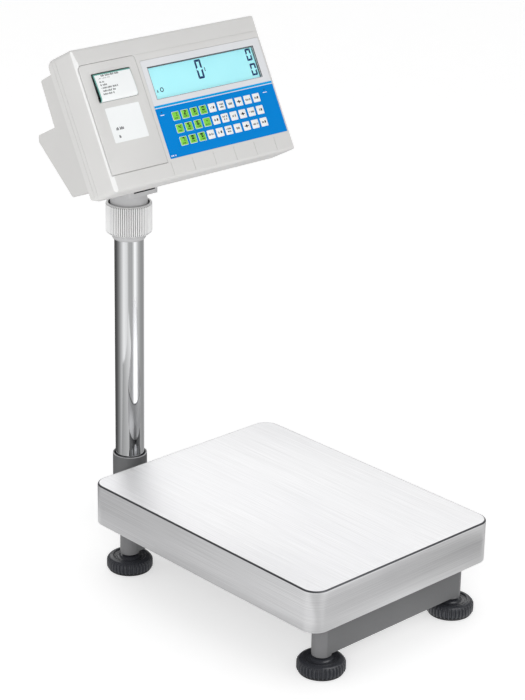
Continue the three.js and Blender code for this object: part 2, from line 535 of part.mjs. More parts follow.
// ---- head: label printer ------------------------------------------------------------
{
  const { x, t, s, width, bore } = ROLL;
  const sides = [-1, 1].map((side) => {
    const near = x + side * (width / 2 + 2.5);
    const far = near + side * 2.5;
    return cut(
      prismX(outline([[6, 190], [6, 226], [34, 226], [62, 178], [62, 132], [28, 132]]),
        Math.min(near, far), Math.max(near, far)),
      move(rodX(PLATEN.shaft + GAP, near - 4, near + 4, 16), 0, PLATEN.t, PLATEN.s));
  });
  const reach = width / 2 + 3;
  const printHead = block(x - reach, x + reach, 20.6, 28, 190, 214);
  const spindle = move(rodX(bore - 0.6, x - reach, x + reach), 0, t, s);
  const tie = block(x - reach, x + reach, 30, 34, 206, 216);
  const heatSink = block(x - reach + 6, x + reach - 6, 27, 31, 196, 212);
  add(head, 'printer_mechanism', 'dark', join(...sides, printHead, spindle, tie, heatSink));
  add(head, 'paper_roll', 'paper', move(cut(
    rodX(ROLL.radius, x - width / 2, x + width / 2, 28),
    rodX(bore, x - width / 2 - 1, x + width / 2 + 1, 16)), 0, t, s));
  add(head, 'platen_roller', 'rubber', move(join(
    rodX(PLATEN.radius, x - width / 2 - 1.5, x + width / 2 + 1.5, 20),
    rodX(PLATEN.shaft, x - width / 2 - 4.6, x + width / 2 + 4.6, 16)), 0, PLATEN.t, PLATEN.s));
  // the printed label: up between print head and platen, out of the window, then up the panel
  const middle = new THREE.SplineCurve([[20.1, 196], [20, 202], [16.5, 206.6],
    [9.5, 207.3], [3.6, 205.9], [-0.4, 205.2], [-3, 207.6], [-3.2, 215], [-2.6, 226], [-1.6, 238.4]]
    .map(([a, b]) => new THREE.Vector2(a, b)));
  const near = [];
  const far = [];
  const steps = 24;
  for (let k = 0; k <= steps; k++) {
    const point = middle.getPoint(k / steps);
    const tangent = middle.getTangent(k / steps);
    near.push([point.x - tangent.y * 0.2, point.y + tangent.x * 0.2]);
    far.unshift([point.x + tangent.y * 0.2, point.y - tangent.x * 0.2]);
  }
  add(head, 'label_strip', 'paper', prismX(outline([...near, ...far]), x - width / 2, x + width / 2));
}

// ---- head: printer cover ------------------------------------------------------------
{
  const { x0, x1, s0, s1, thick } = COVER;
  const pivot = s0 + thick / 2;
  const plate = prismY(roundedRect(x0, pivot, x1, s1, 4.6, 4), 0, thick);
  const square = block(x0, x1, 0, thick, pivot, pivot + 6);
  const barrel = move(rodX(thick / 2, x0, x1, 20), 0, thick / 2, pivot);
  const pins = move(rodX(1.2, x0 - 1.4, x1 + 1.4, 12), 0, thick / 2, pivot);
  const window = block(WINDOW.x0, WINDOW.x1, -1, thick + 1, WINDOW.s0, WINDOW.s1);
  add(head, 'printer_cover', 'housing', cut(join(plate, square, barrel, pins), window));
}

export default group;
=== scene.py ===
import math

import bmesh
import bpy
from mathutils import Matrix, Vector


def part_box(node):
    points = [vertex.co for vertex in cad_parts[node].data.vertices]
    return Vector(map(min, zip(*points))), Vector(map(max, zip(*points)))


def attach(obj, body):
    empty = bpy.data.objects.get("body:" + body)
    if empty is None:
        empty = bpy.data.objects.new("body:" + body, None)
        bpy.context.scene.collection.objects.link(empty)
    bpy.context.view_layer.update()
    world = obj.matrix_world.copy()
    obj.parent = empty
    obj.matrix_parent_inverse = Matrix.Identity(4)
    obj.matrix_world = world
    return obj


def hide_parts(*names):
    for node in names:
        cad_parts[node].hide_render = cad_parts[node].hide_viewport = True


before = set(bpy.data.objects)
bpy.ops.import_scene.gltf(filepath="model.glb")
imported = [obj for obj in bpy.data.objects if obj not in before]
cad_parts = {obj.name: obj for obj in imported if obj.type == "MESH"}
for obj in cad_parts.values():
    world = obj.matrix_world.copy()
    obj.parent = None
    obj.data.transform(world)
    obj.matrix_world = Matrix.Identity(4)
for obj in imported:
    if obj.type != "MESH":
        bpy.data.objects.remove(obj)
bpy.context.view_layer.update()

scene = bpy.context.scene

# ---- driving sizes, in millimetres ---------------------------------------------------
MM = 0.001
LEAN = math.radians(28.1)  # how far the indicator's panel leans back
PAN_TOP = 122
PAN_HALF_X, PAN_HALF_Y = 150, 200
COLUMN_Y, COLUMN_R = 304.3, 19
LEG_X, LEG_Y, LEG_R = 110, 173, 12
BEAM_LOW, BEAM_HIGH, BEAM_WALL = 25.5, 64, 3
BRACKET_BOLTS, BRACKET_BOLT_Z, BRACKET_BOLT_R = (-45, 45), 45, 4.3
FOOT_R, FOOT_RIBS = 29, 36
STUD_PITCH, STUD_TURNS = 1.5, 19
COLLAR_R, COLLAR_RIBS = 29.7, 68
HEAD_ORIGIN = (0, 105.3, 422)  # a point on the indicator's panel, from the pan's middle
HEAD_HALF, HEAD_LOW, HEAD_HIGH = 145.5, 97.4, 274.1
BACK_HALF = 144.3
FRONT_DEPTH = 52.3
EDGE_CUT = 4.4  # chamfer on the front housing's side edges
# on the panel: x across, s up the panel and t into it; rectangles are x0, x1, s0, s1
FILM = (-52.5, 139, 121.6, 243.6)
FILM_FACE, FILM_BACK, FILM_PRINT = 0.12, 0.9, 0.07
LCD_FACE, LCD_PRINT = 3.4, 3.38
DISPLAY = (-44, 126, 194.6, 233.8)
COVER = (-142.8, -58.4, 118.2, 252.2)
WINDOW = (-129, -69.8, 204.5, 240)

# places: the base frame's origin is under the pan's middle, the head's is on its panel
pan_low, pan_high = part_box("pan")
PAN_MIDDLE_Y = (pan_low.y + pan_high.y) / 2
TO_ROW = Matrix.Translation((0, PAN_MIDDLE_Y, 0)) @ Matrix.Scale(MM, 4)
TO_HEAD = TO_ROW @ Matrix.Translation(HEAD_ORIGIN) @ Matrix.Rotation(-LEAN, 4, "X")
CORNERS = (("fl", -1, -1), ("fr", 1, -1), ("rl", -1, 1), ("rr", 1, 1))


# ---- camera --------------------------------------------------------------------------
def make_camera():
    """The camera looks at a point above the pan; azimuth counts from the front, in metres and degrees."""
    azimuth, elevation, roll = math.radians(-43.383), math.radians(21.613), math.radians(1.113)
    distance, aside, above_pan = 2.62857, -0.049767, 0.210475
    target = Vector((aside, PAN_MIDDLE_Y, above_pan + PAN_TOP * MM))
    back = Vector((math.sin(azimuth) * math.cos(elevation),
                   -math.cos(azimuth) * math.cos(elevation), math.sin(elevation)))
    right = (-back).cross(Vector((0, 0, 1))).normalized()
    up = right.cross(-back)
    turned_right = right * math.cos(roll) + up * math.sin(roll)
    turned_up = up * math.cos(roll) - right * math.sin(roll)
    data = bpy.data.cameras.new("camera")
    data.sensor_width = 36
    data.lens = 114.876
    data.clip_start, data.clip_end = 0.05, 50
    camera = bpy.data.objects.new("camera", data)
    scene.collection.objects.link(camera)
    place = Matrix((turned_right, turned_up, back)).transposed().to_4x4()
    place.translation = target + back * distance
    camera.matrix_world = place
    scene.camera = camera


make_camera()


# ---- node helpers --------------------------------------------------------------------
def new_material(name):
    material = bpy.data.materials.new(name)
    material.use_nodes = True
    tree = material.node_tree
    return material, tree, tree.nodes["Principled BSDF"]


def node(tree, kind, **settings):
    made = tree.nodes.new(kind)
    for key, value in settings.items():
        setattr(made, key, value)
    return made


def coordinates(tree, scale):
    """Object coordinates times scale, a number or three numbers."""
    coords = node(tree, "ShaderNodeTexCoord")
    mapping = node(tree, "ShaderNodeMapping")
    mapping.inputs["Scale"].default_value = (scale,) * 3 if isinstance(scale, (int, float)) else scale
    tree.links.new(coords.outputs["Object"], mapping.inputs["Vector"])
    return mapping.outputs["Vector"]


def position_in(tree, kind="Object"):
    """Texture coordinates split into X, Y and Z."""
    coords = node(tree, "ShaderNodeTexCoord")
    place = node(tree, "ShaderNodeSeparateXYZ")
    tree.links.new(coords.outputs[kind], place.inputs[0])
    return place


def noise(tree, scale, detail=3.0, roughness=0.5):
    made = node(tree, "ShaderNodeTexNoise")
    made.inputs["Scale"].default_value = 1.0
    made.inputs["Detail"].default_value = detail
    made.inputs["Roughness"].default_value = roughness
    tree.links.new(coordinates(tree, scale), made.inputs["Vector"])
    return made.outputs["Fac"]


def ramp(tree, source, stops, lowest=0.0, highest=1.0):
    """A value between lowest and highest mapped to colours."""
    spread = node(tree, "ShaderNodeMapRange")
    spread.inputs["From Min"].default_value = lowest
    spread.inputs["From Max"].default_value = highest
    tree.links.new(source, spread.inputs["Value"])
    made = node(tree, "ShaderNodeValToRGB")
    elements = made.color_ramp.elements
    while len(elements) < len(stops):
        elements.new(0.5)
    for element, (position, colour) in zip(elements, stops):
        element.position = position
        element.color = (*colour, 1)
    tree.links.new(spread.outputs["Result"], made.inputs["Fac"])
    return made.outputs["Color"]


def to_range(tree, source, low, high):
    """The middle of a noise spread over low to high."""
    made = node(tree, "ShaderNodeMapRange")
    made.inputs["From Min"].default_value = 0.3
    made.inputs["From Max"].default_value = 0.7
    made.inputs["To Min"].default_value = low
    made.inputs["To Max"].default_value = high
    tree.links.new(source, made.inputs["Value"])
    return made.outputs["Result"]


def bump(tree, shader, height, distance, strength=1.0):
    made = node(tree, "ShaderNodeBump")
    made.inputs["Distance"].default_value = distance * MM
    made.inputs["Strength"].default_value = strength
    tree.links.new(height, made.inputs["Height"])
    tree.links.new(made.outputs["Normal"], shader.inputs["Normal"])


def shade(colour, factor):
    return tuple(min(1.0, c * factor) for c in colour)


def moulded(name, colour, rough=0.5, grain=900, depth=0.05, mottle=0.04, coat=0.0, specular=0.5):
    """Moulded plastic, rubber or paint: faint mottling, a fine bump and uneven gloss."""
    material, tree, shader = new_material(name)
    large = noise(tree, 18, 4)
    tree.links.new(ramp(tree, large, [(0.0, shade(colour, 1 - mottle)), (1.0, shade(colour, 1 + mottle))],
                        0.3, 0.7), shader.inputs["Base Color"])
    fine = noise(tree, grain, 2)
    tree.links.new(to_range(tree, fine, rough - 0.05, rough + 0.07), shader.inputs["Roughness"])
    bump(tree, shader, fine, depth)
    shader.inputs["Specular IOR Level"].default_value = specular
    shader.inputs["Coat Weight"].default_value = coat
    shader.inputs["Coat Roughness"].default_value = 0.15
    return material


def metal(name, colour, rough, stretch, depth=0.02, spread=0.08, streak=0.08):
    """Metal with brushing or machining lines: stretch is the noise scale along X, Y and Z."""
    material, tree, shader = new_material(name)
    shader.inputs["Metallic"].default_value = 1.0
    lines = noise(tree, stretch, 2, 0.6)
    tree.links.new(ramp(tree, lines, [(0.0, shade(colour, 1 - streak)), (1.0, shade(colour, 1 + streak))],
                        0.25, 0.75), shader.inputs["Base Color"])
    tree.links.new(to_range(tree, lines, rough - spread / 2, rough + spread / 2), shader.inputs["Roughness"])
    bump(tree, shader, lines, depth)
    return material


# ---- mesh helpers --------------------------------------------------------------------
def rounded(points, radius, steps=4):
    """A closed outline with its corners rounded; radius is one number or one per corner."""
    radii = [radius] * len(points) if isinstance(radius, (int, float)) else radius
    made = []
    for k, (point, r) in enumerate(zip(points, radii)):
        p = Vector(point)
        before = Vector(points[k - 1]) - p
        after = Vector(points[(k + 1) % len(points)]) - p
        angle = before.angle(after)
        if r <= 0 or angle > math.pi - 0.02:
            made.append(tuple(p))
            continue
        reach = min(r / math.tan(angle / 2), before.length * 0.49, after.length * 0.49)
        r = reach * math.tan(angle / 2)
        start, end = p + before.normalized() * reach, p + after.normalized() * reach
        centre = p + (before.normalized() + after.normalized()).normalized() * (r / math.sin(angle / 2))
        a, b = start - centre, end - centre
        total = a.angle_signed(b)
        for step in range(steps + 1):
            turn = Matrix.Rotation(-total * step / steps, 2)
            made.append(tuple(centre + turn @ a))
    return made


def rectangle(x0, x1, y0, y1, radius=0.0, steps=4):
    return rounded([(x0, y0), (x1, y0), (x1, y1), (x0, y1)], radius, steps)


def ring_of(count, radius, cx=0.0, cy=0.0):
    angles = [2 * math.pi * k / count for k in range(count)]
    return [(cx + radius * math.cos(a), cy + radius * math.sin(a)) for a in angles]


def prism(points, low, high, axis="z"):
    """An outline extruded along an axis; it is in XY for z, YZ for x and XZ for y."""
    orders = {"z": lambda a, b, c: (a, b, c), "x": lambda a, b, c: (c, a, b), "y": lambda a, b, c: (a, c, b)}
    order = orders[axis]
    bm = bmesh.new()
    ends = [[bm.verts.new(order(a, b, c)) for a, b in points] for c in (low, high)]
    bm.faces.new(ends[0][::-1])
    bm.faces.new(ends[1])
    for k in range(len(points)):
        n = (k + 1) % len(points)
        bm.faces.new((ends[0][k], ends[0][n], ends[1][n], ends[1][k]))
    bmesh.ops.recalc_face_normals(bm, faces=bm.faces)
    return bm


def lathe(profile, count=96, radial=None, centre=(0, 0)):
    """A profile of (radius, z) turned about Z. It closes on itself, or starts and ends on the axis."""
    bm = bmesh.new()
    rings = []
    for r, z in profile:
        if r < 1e-6:
            rings.append([bm.verts.new((centre[0], centre[1], z))])
            continue
        ring = []
        for k in range(count):
            a = 2 * math.pi * k / count
            reach = r + (radial(a, r, z) if radial else 0)
            ring.append(bm.verts.new((centre[0] + reach * math.cos(a), centre[1] + reach * math.sin(a), z)))
        rings.append(ring)
    pairs = list(zip(rings, rings[1:]))
    if len(rings[0]) > 1 and len(rings[-1]) > 1:
        pairs.append((rings[-1], rings[0]))
    for low, high in pairs:
        for k in range(count):
            n = (k + 1) % count
            corners = [low[k % len(low)], low[n % len(low)], high[n % len(high)], high[k % len(high)]]
            bm.faces.new(list(dict.fromkeys(corners)))
    bmesh.ops.recalc_face_normals(bm, faces=bm.faces)
    return bm


def rod_across(radius, start, end, count):
    """A round rod along X."""
    rod = lathe([(0, start), (radius, start), (radius, end), (0, end)], count)
    return moved(rod, Matrix.Rotation(math.pi / 2, 4, "Y"))


def stacked(loops, cap_start=True, cap_end=True):
    """Closed loops of equal length joined one to the next."""
    bm = bmesh.new()
    rings = [[bm.verts.new(p) for p in loop] for loop in loops]
    for low, high in zip(rings, rings[1:]):
        for k in range(len(low)):
            n = (k + 1) % len(low)
            bm.faces.new((low[k], low[n], high[n], high[k]))
    if cap_start:
        bm.faces.new(rings[0][::-1])
    if cap_end:
        bm.faces.new(rings[-1])
    bmesh.ops.recalc_face_normals(bm, faces=bm.faces)
    return bm


def merged(*parts):
    """Several bmeshes in one; they stay separate closed shells."""
    whole = bmesh.new()
    for part in parts:
        mesh = bpy.data.meshes.new("part")
        part.to_mesh(mesh)
        part.free()
        whole.from_mesh(mesh)
        bpy.data.meshes.remove(mesh)
    return whole


def moved(bm, matrix):
    bmesh.ops.transform(bm, matrix=matrix, verts=bm.verts)
    return bm


def shift(bm, x=0.0, y=0.0, z=0.0):
    return moved(bm, Matrix.Translation((x, y, z)))


def as_object(name, bm):
    mesh = bpy.data.meshes.new(name)
    bm.to_mesh(mesh)
    bm.free()
    made = bpy.data.objects.new(name, mesh)
    scene.collection.objects.link(made)
    return made


def taken_back(obj):
    """An object's mesh as a bmesh again; the object goes."""
    bm = bmesh.new()
    bm.from_mesh(obj.data)
    bpy.data.objects.remove(obj)
    return bm


def boolean(body, tool_bm, operation="DIFFERENCE"):
    tool = as_object("tool", tool_bm)
    modifier = body.modifiers.new("boolean", "BOOLEAN")
    modifier.operation = operation
    modifier.solver = "EXACT"
    modifier.use_self = True
    modifier.object = tool
    bake(body)
    bpy.data.objects.remove(tool)


def bake(obj):
    """The mesh with its modifiers applied."""
    bpy.context.view_layer.update()
    result = bpy.data.meshes.new_from_object(obj.evaluated_get(bpy.context.evaluated_depsgraph_get()))
    old = obj.data
    obj.modifiers.clear()
    obj.data = result
    name = old.name
    bpy.data.meshes.remove(old)
    result.name = name


def piece(name, bm, body, material, place=TO_ROW, cuts=(), joins=(), bevel=0.0, segments=3,
          smooth=35, stands_for=()):
    """One finished piece: solid, joined and cut, its edges rounded, placed and riding on its body."""
    obj = as_object(name, bm)
    for tool in joins:
        boolean(obj, tool, "UNION")
    for tool in cuts:
        boolean(obj, tool)
    if bevel:
        modifier = obj.modifiers.new("bevel", "BEVEL")
        modifier.width = bevel
        modifier.segments = segments
        modifier.limit_method = "ANGLE"
        modifier.angle_limit = math.radians(30)
        modifier.miter_outer = "MITER_ARC"
        modifier.use_clamp_overlap = True
        bake(obj)
    obj.data.transform(place)
    for face in obj.data.polygons:
        face.use_smooth = True
    obj.data.set_sharp_from_angle(angle=math.radians(smooth))
    for each in material if isinstance(material, list) else [material]:
        obj.data.materials.append(each)
    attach(obj, body)
    if stands_for:
        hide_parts(*stands_for)
    return obj


# ---- materials -----------------------------------------------------------------------
def pan_material():
    """Brushed stainless sheet: lines along Y on the top, level lines on the skirt, and painted shade as a
    dark line along the rolled top edge.
    """
    material, tree, shader = new_material("brushed_stainless")
    shader.inputs["Metallic"].default_value = 0.75
    top_lines = noise(tree, (1400, 9, 1400), 2, 0.7)
    side_lines = noise(tree, (7, 7, 1500), 2, 0.7)
    place = position_in(tree)
    is_top = node(tree, "ShaderNodeMapRange")
    is_top.inputs["From Min"].default_value = (PAN_TOP - 0.35) * MM
    is_top.inputs["From Max"].default_value = (PAN_TOP - 0.05) * MM
    tree.links.new(place.outputs["Z"], is_top.inputs["Value"])
    lines = node(tree, "ShaderNodeMix", data_type="FLOAT")
    tree.links.new(is_top.outputs["Result"], lines.inputs["Factor"])
    tree.links.new(side_lines, lines.inputs["A"])
    tree.links.new(top_lines, lines.inputs["B"])
    height = lines.outputs["Result"]
    steel = ramp(tree, height, [(0.0, (0.67, 0.67, 0.675)), (1.0, (0.885, 0.885, 0.89))], 0.25, 0.75)
    wave = noise(tree, (5, 2, 5), 2)
    cloud = ramp(tree, wave, [(0.0, (0.94, 0.94, 0.95)), (1.0, (1.0, 1.0, 1.0))], 0.3, 0.7)
    brushed = node(tree, "ShaderNodeMix", data_type="RGBA", blend_type="MULTIPLY")
    brushed.inputs["Factor"].default_value = 1.0
    tree.links.new(steel, brushed.inputs["A"])
    tree.links.new(cloud, brushed.inputs["B"])
    # painted shade: a near-black band on the curve of the rolled edge, just below the top
    fold = ramp(tree, place.outputs["Z"], [(0.0, (1, 1, 1)), (0.25, (0.12, 0.12, 0.13)),
                                           (0.975, (0.12, 0.12, 0.13)), (1.0, (1, 1, 1))],
                (PAN_TOP - 1.7) * MM, (PAN_TOP - 0.01) * MM)
    final = node(tree, "ShaderNodeMix", data_type="RGBA", blend_type="MULTIPLY")
    final.inputs["Factor"].default_value = 1.0
    tree.links.new(brushed.outputs["Result"], final.inputs["A"])
    tree.links.new(fold, final.inputs["B"])
    tree.links.new(final.outputs["Result"], shader.inputs["Base Color"])
    tree.links.new(to_range(tree, height, 0.3, 0.42), shader.inputs["Roughness"])
    bump(tree, shader, height, 0.03)
    return material


def glowing(name, low, high, strength):
    """Backlit display glass: a soft, slightly cloudy glow."""
    material, tree, shader = new_material(name)
    cloud = noise(tree, 9, 2)
    colour = ramp(tree, cloud, [(0.0, low), (1.0, high)], 0.35, 0.65)
    tree.links.new(colour, shader.inputs["Base Color"])
    tree.links.new(colour, shader.inputs["Emission Color"])
    shader.inputs["Emission Strength"].default_value = strength
    shader.inputs["Roughness"].default_value = 0.25
    return material


STEEL_PAN = pan_material()
CHROME = metal("polished_chrome", (0.86, 0.87, 0.88), 0.05, (90, 90, 6), 0.002, 0.03, 0.02)
FRAME_PAINT = moulded("frame_paint", (0.135, 0.137, 0.14), 0.45, 700, 0.06)
LEG_PAINT = moulded("leg_paint", (0.172, 0.172, 0.177), 0.42, 700, 0.05)
SOCKET_PAINT = moulded("socket_paint", (0.13, 0.132, 0.135), 0.5, 600, 0.08)
# painted highlight: a lighter copy of the socket paint for the cup's top rim
SOCKET_RIM_HIGHLIGHT = moulded("socket_rim_highlight", (0.45, 0.45, 0.46), 0.4, 700, 0.05)
ZINC = metal("zinc_plate", (0.56, 0.57, 0.59), 0.32, 700, 0.01, 0.1, 0.08)
ALUMINIUM = metal("machined_aluminium", (0.63, 0.64, 0.65), 0.34, (900, 40, 900), 0.015)
RUBBER = moulded("black_rubber", (0.018, 0.018, 0.02), 0.75, 500, 0.08)
FOOT_PLASTIC = moulded("foot_plastic", (0.033, 0.035, 0.042), 0.3, 800, 0.03, 0.1, 0.2)
COLLAR_PLASTIC = moulded("collar_plastic", (0.60, 0.60, 0.60), 0.42, 900, 0.03)
# painted shade in the rib grooves and painted highlight on the rib crests of the collar plastic
COLLAR_GROOVE_SHADE = moulded("collar_groove_shade", (0.26, 0.26, 0.26), 0.5, 900, 0.03)
COLLAR_RIDGE_HIGHLIGHT = moulded("collar_ridge_highlight", (0.83, 0.83, 0.83), 0.4, 900, 0.03)
NECK_PLASTIC = moulded("neck_plastic", (0.49, 0.49, 0.495), 0.45, 900, 0.03)
ABS = moulded("housing_abs", (0.655, 0.65, 0.64), 0.45, 1100, 0.035, 0.015)
ABS_BACK = moulded("back_housing_abs", (0.605, 0.6, 0.59), 0.45, 1100, 0.035, 0.015)
# painted highlight: a lighter copy of the housing plastic for the side chamfers
ABS_EDGE_HIGHLIGHT = moulded("housing_edge_highlight", (0.80, 0.80, 0.795), 0.4, 1100, 0.02, 0.01)
# painted shade: near-black for the insides of bores, lips and slots where shade falls
GAP_SHADE = moulded("painted_gap_shade", (0.03, 0.03, 0.032), 0.6)
FILM_SILVER = moulded("film_silver", (0.73, 0.74, 0.765), 0.35, 1500, 0.01, 0.02)
FILM_CYAN = moulded("film_cyan", (0.0, 0.34, 0.76), 0.5, 1500, 0.01, 0.03, specular=0.05)
FILM_BLUE = moulded("film_blue", (0.0, 0.222, 0.65), 0.5, 1500, 0.01, 0.03, specular=0.03)
KEY_GREEN = moulded("key_green", (0.20, 0.62, 0.05), 0.35, 1500, 0.01, 0.03)
KEY_WHITE = moulded("key_white", (0.86, 0.87, 0.87), 0.35, 1500, 0.01, 0.02)
INK = moulded("printed_ink", (0.012, 0.014, 0.02), 0.5, 1500, 0.01, specular=0.15)
# painted shade: a mid grey for the thin line along the display opening's lower and left edges
RECESS_EDGE_SHADE = moulded("recess_edge_shade", (0.32, 0.33, 0.36), 0.5, 1500, 0.01)
LABEL_INK = moulded("label_ink", (0.09, 0.095, 0.1), 0.5, 1500, 0.01)
WHITE_INK = moulded("white_ink", (0.85, 0.87, 0.9), 0.4, 1500, 0.01)
LCD = glowing("lcd_backlight", (0.28, 0.56, 0.61), (0.32, 0.60, 0.64), 0.8)
LCD_INK = moulded("lcd_segments", (0.008, 0.035, 0.14), 0.5, 1500, 0.01, specular=0.1)
LCD_MARK = moulded("lcd_marks", (0.05, 0.09, 0.12), 0.5, 1500, 0.01, specular=0.1)
# near-black, painted shade: it darkens the display recess's walls and its top and right edges
GASKET_SHADOW = moulded("display_gasket_shadow", (0.03, 0.045, 0.05), 0.5)
PAPER = moulded("label_paper", (0.86, 0.88, 0.885), 0.6, 1200, 0.02, 0.015)
LINER = moulded("label_liner", (0.13, 0.38, 0.33), 0.45, 1200, 0.01)
BOARD = moulded("circuit_board", (0.015, 0.16, 0.05), 0.35, 500, 0.03, 0.2)
BLACK_ABS = moulded("black_abs", (0.025, 0.025, 0.028), 0.5, 900, 0.04)


def glass_material():
    material, tree, shader = new_material("display_window")
    shader.inputs["Base Color"].default_value = (0.93, 1.0, 1.0, 1)
    shader.inputs["Transmission Weight"].default_value = 1.0
    shader.inputs["IOR"].default_value = 1.2
    tree.links.new(to_range(tree, noise(tree, 40, 2), 0.02, 0.06), shader.inputs["Roughness"])
    return material


GLASS = glass_material()


# ---- pan -----------------------------------------------------------------------------
def pan():
    corner, fold, sheet, bottom = 20.5, 2.4, 1.2, PAN_TOP - 53

    def loop(inset, z):
        points = rectangle(-PAN_HALF_X + inset, PAN_HALF_X - inset, -PAN_HALF_Y + inset,
                           PAN_HALF_Y - inset, corner - inset, 14)
        return [(x, y, z) for x, y in points]

    def folded(start, radius, top, steps=6):
        arcs = [math.pi / 2 * k / steps for k in range(steps + 1)]
        return [loop(start + radius * (1 - math.cos(a)), top - radius + radius * math.sin(a)) for a in arcs]

    outer = folded(0, fold, PAN_TOP)
    inner = folded(sheet, fold - sheet, PAN_TOP - sheet)
    skin = [*inner[::-1], loop(sheet, bottom + 0.3), loop(sheet - 0.3, bottom), loop(0.3, bottom),
            loop(0, bottom + 0.3), *outer]
    piece("weighing_pan", stacked(skin), "pan", STEEL_PAN, smooth=50, stands_for=["pan"])


# ---- base frame ----------------------------------------------------------------------
def frame_beams():
    for side, name in ((-1, "front"), (1, "rear")):
        y = side * LEG_Y
        reach = LEG_X + LEG_R
        shape = rectangle(-reach, reach, y - LEG_R, y + LEG_R, LEG_R - 0.01, 14)
        inner = LEG_R - BEAM_WALL
        hollow = rectangle(-reach + BEAM_WALL, reach - BEAM_WALL, y - inner, y + inner, inner - 0.01, 8)
        joins = [lathe([(0, 22), (LEG_R - 0.5, 22), (LEG_R + 0.04, 22.5), (LEG_R + 0.04, 63), (0, 63)], 72,
                       centre=(x, y)) for x in (-LEG_X, LEG_X)]
        bores = [lathe([(0, 20), (5.4, 20), (5.4, 56), (0, 56)], 32, centre=(x, y)) for x in (-LEG_X, LEG_X)]
        if side > 0:
            bores += bracket_holes(LEG_Y, LEG_Y + 14)
        beam = as_object("beam", prism(shape, BEAM_LOW, BEAM_HIGH))
        boolean(beam, prism(hollow, 20, BEAM_HIGH - BEAM_WALL))
        for tool in joins:
            boolean(beam, tool, "UNION")
        for tool in bores:
            boolean(beam, tool)
        made = piece(f"{name}_beam", taken_back(beam), "base_frame", [FRAME_PAINT, LEG_PAINT],
                     stands_for=[f"{name}_crossbeam"])
        for face in made.data.polygons:
            centre = face.center
            near = min(abs(centre.x - x * MM) for x in (-LEG_X, LEG_X))
            flat = abs(centre.y - PAN_MIDDLE_Y - (y + side * LEG_R) * MM) < 0.0002
            if near < LEG_R * 1.02 * MM and not flat:
                face.material_index = 1


def bracket_holes(start, end):
    """Tools for the two bolts that hold the column bracket to the rear beam."""
    return [shift(prism(ring_of(24, BRACKET_BOLT_R), start, end, "y"), x=x, z=BRACKET_BOLT_Z)
            for x in BRACKET_BOLTS]


def rib(angle, count, half_depth, steepness, widening=0.0):
    """How far a ribbed edge lies inside its ridges at an angle: a cosine with flat tops and bottoms."""
    wave = math.cos(angle * count) * steepness + widening
    return -half_depth + half_depth * max(-1, min(1, wave))


def levelling_feet():
    def ribs(a, r, z):
        if r < FOOT_R - 1.6 or not 3.5 < z < 15:
            return 0
        return rib(a, FOOT_RIBS, 1.1, 2.4)

    skirt = [(0, 3.3), (22, 3.3), (27.2, 3.3), (28.6, 3.6), (FOOT_R, 4.4), (FOOT_R, 12.2), (28.7, 13.4)]
    shoulder = [(27.5, 14.9), (26.6, 16.0), (25.2, 17.1), (24.2, 17.5), (23.3, 17.6), (22.6, 18.1),
                (21.6, 18.3), (20.7, 18.0), (20.2, 17.2), (19.6, 16.7), (18.4, 16.5), (18.0, 16.9),
                (17.0, 16.9), (16.6, 16.5), (14.6, 16.4), (14.2, 16.8), (13.2, 16.9), (12.8, 17.4),
                (12.0, 18.2), (10.5, 19.0), (8, 19.4), (5.2, 19.6), (0, 19.6)]
    thread = [(4.9, 0.0), (4.9, 0.35), (4.4, 0.75), (4.9, 1.15)]
    stud_profile = [(0, 19)]
    for turn in range(STUD_TURNS):
        stud_profile += [(r, 20 + turn * STUD_PITCH + z) for r, z in thread]
    stud_profile += [(4.4, 49.4), (3.8, 50), (0, 50)]
    for name, sx, sy in CORNERS:
        x, y = sx * LEG_X, sy * LEG_Y
        disc = lathe(skirt + shoulder, FOOT_RIBS * 8, ribs)
        stud = lathe(stud_profile, 32)
        piece(f"foot_knob_{name}", shift(disc, x, y), f"foot_disc_{name}", FOOT_PLASTIC,
              smooth=50, stands_for=[f"foot_disc_{name}"])
        piece(f"foot_stud_{name}", shift(stud, x, y), f"foot_disc_{name}", ZINC, smooth=60)
        sole = lathe([(0, 0), (8, 0), (9, 0.8), (15, 0.8), (16, 0), (25.4, 0), (26.6, 0.5), (27.2, 1.4),
                      (27.2, 3), (0, 3)], 96)
        piece(f"foot_sole_{name}", shift(sole, x, y), f"foot_pad_{name}", RUBBER,
              stands_for=[f"foot_pad_{name}"])


# ---- column --------------------------------------------------------------------------
def from_column(point):
    """A point's distance from the column's axis and its height, in millimetres."""
    return math.hypot(point.x, point.y - PAN_MIDDLE_Y - COLUMN_Y * MM) / MM, point.z / MM


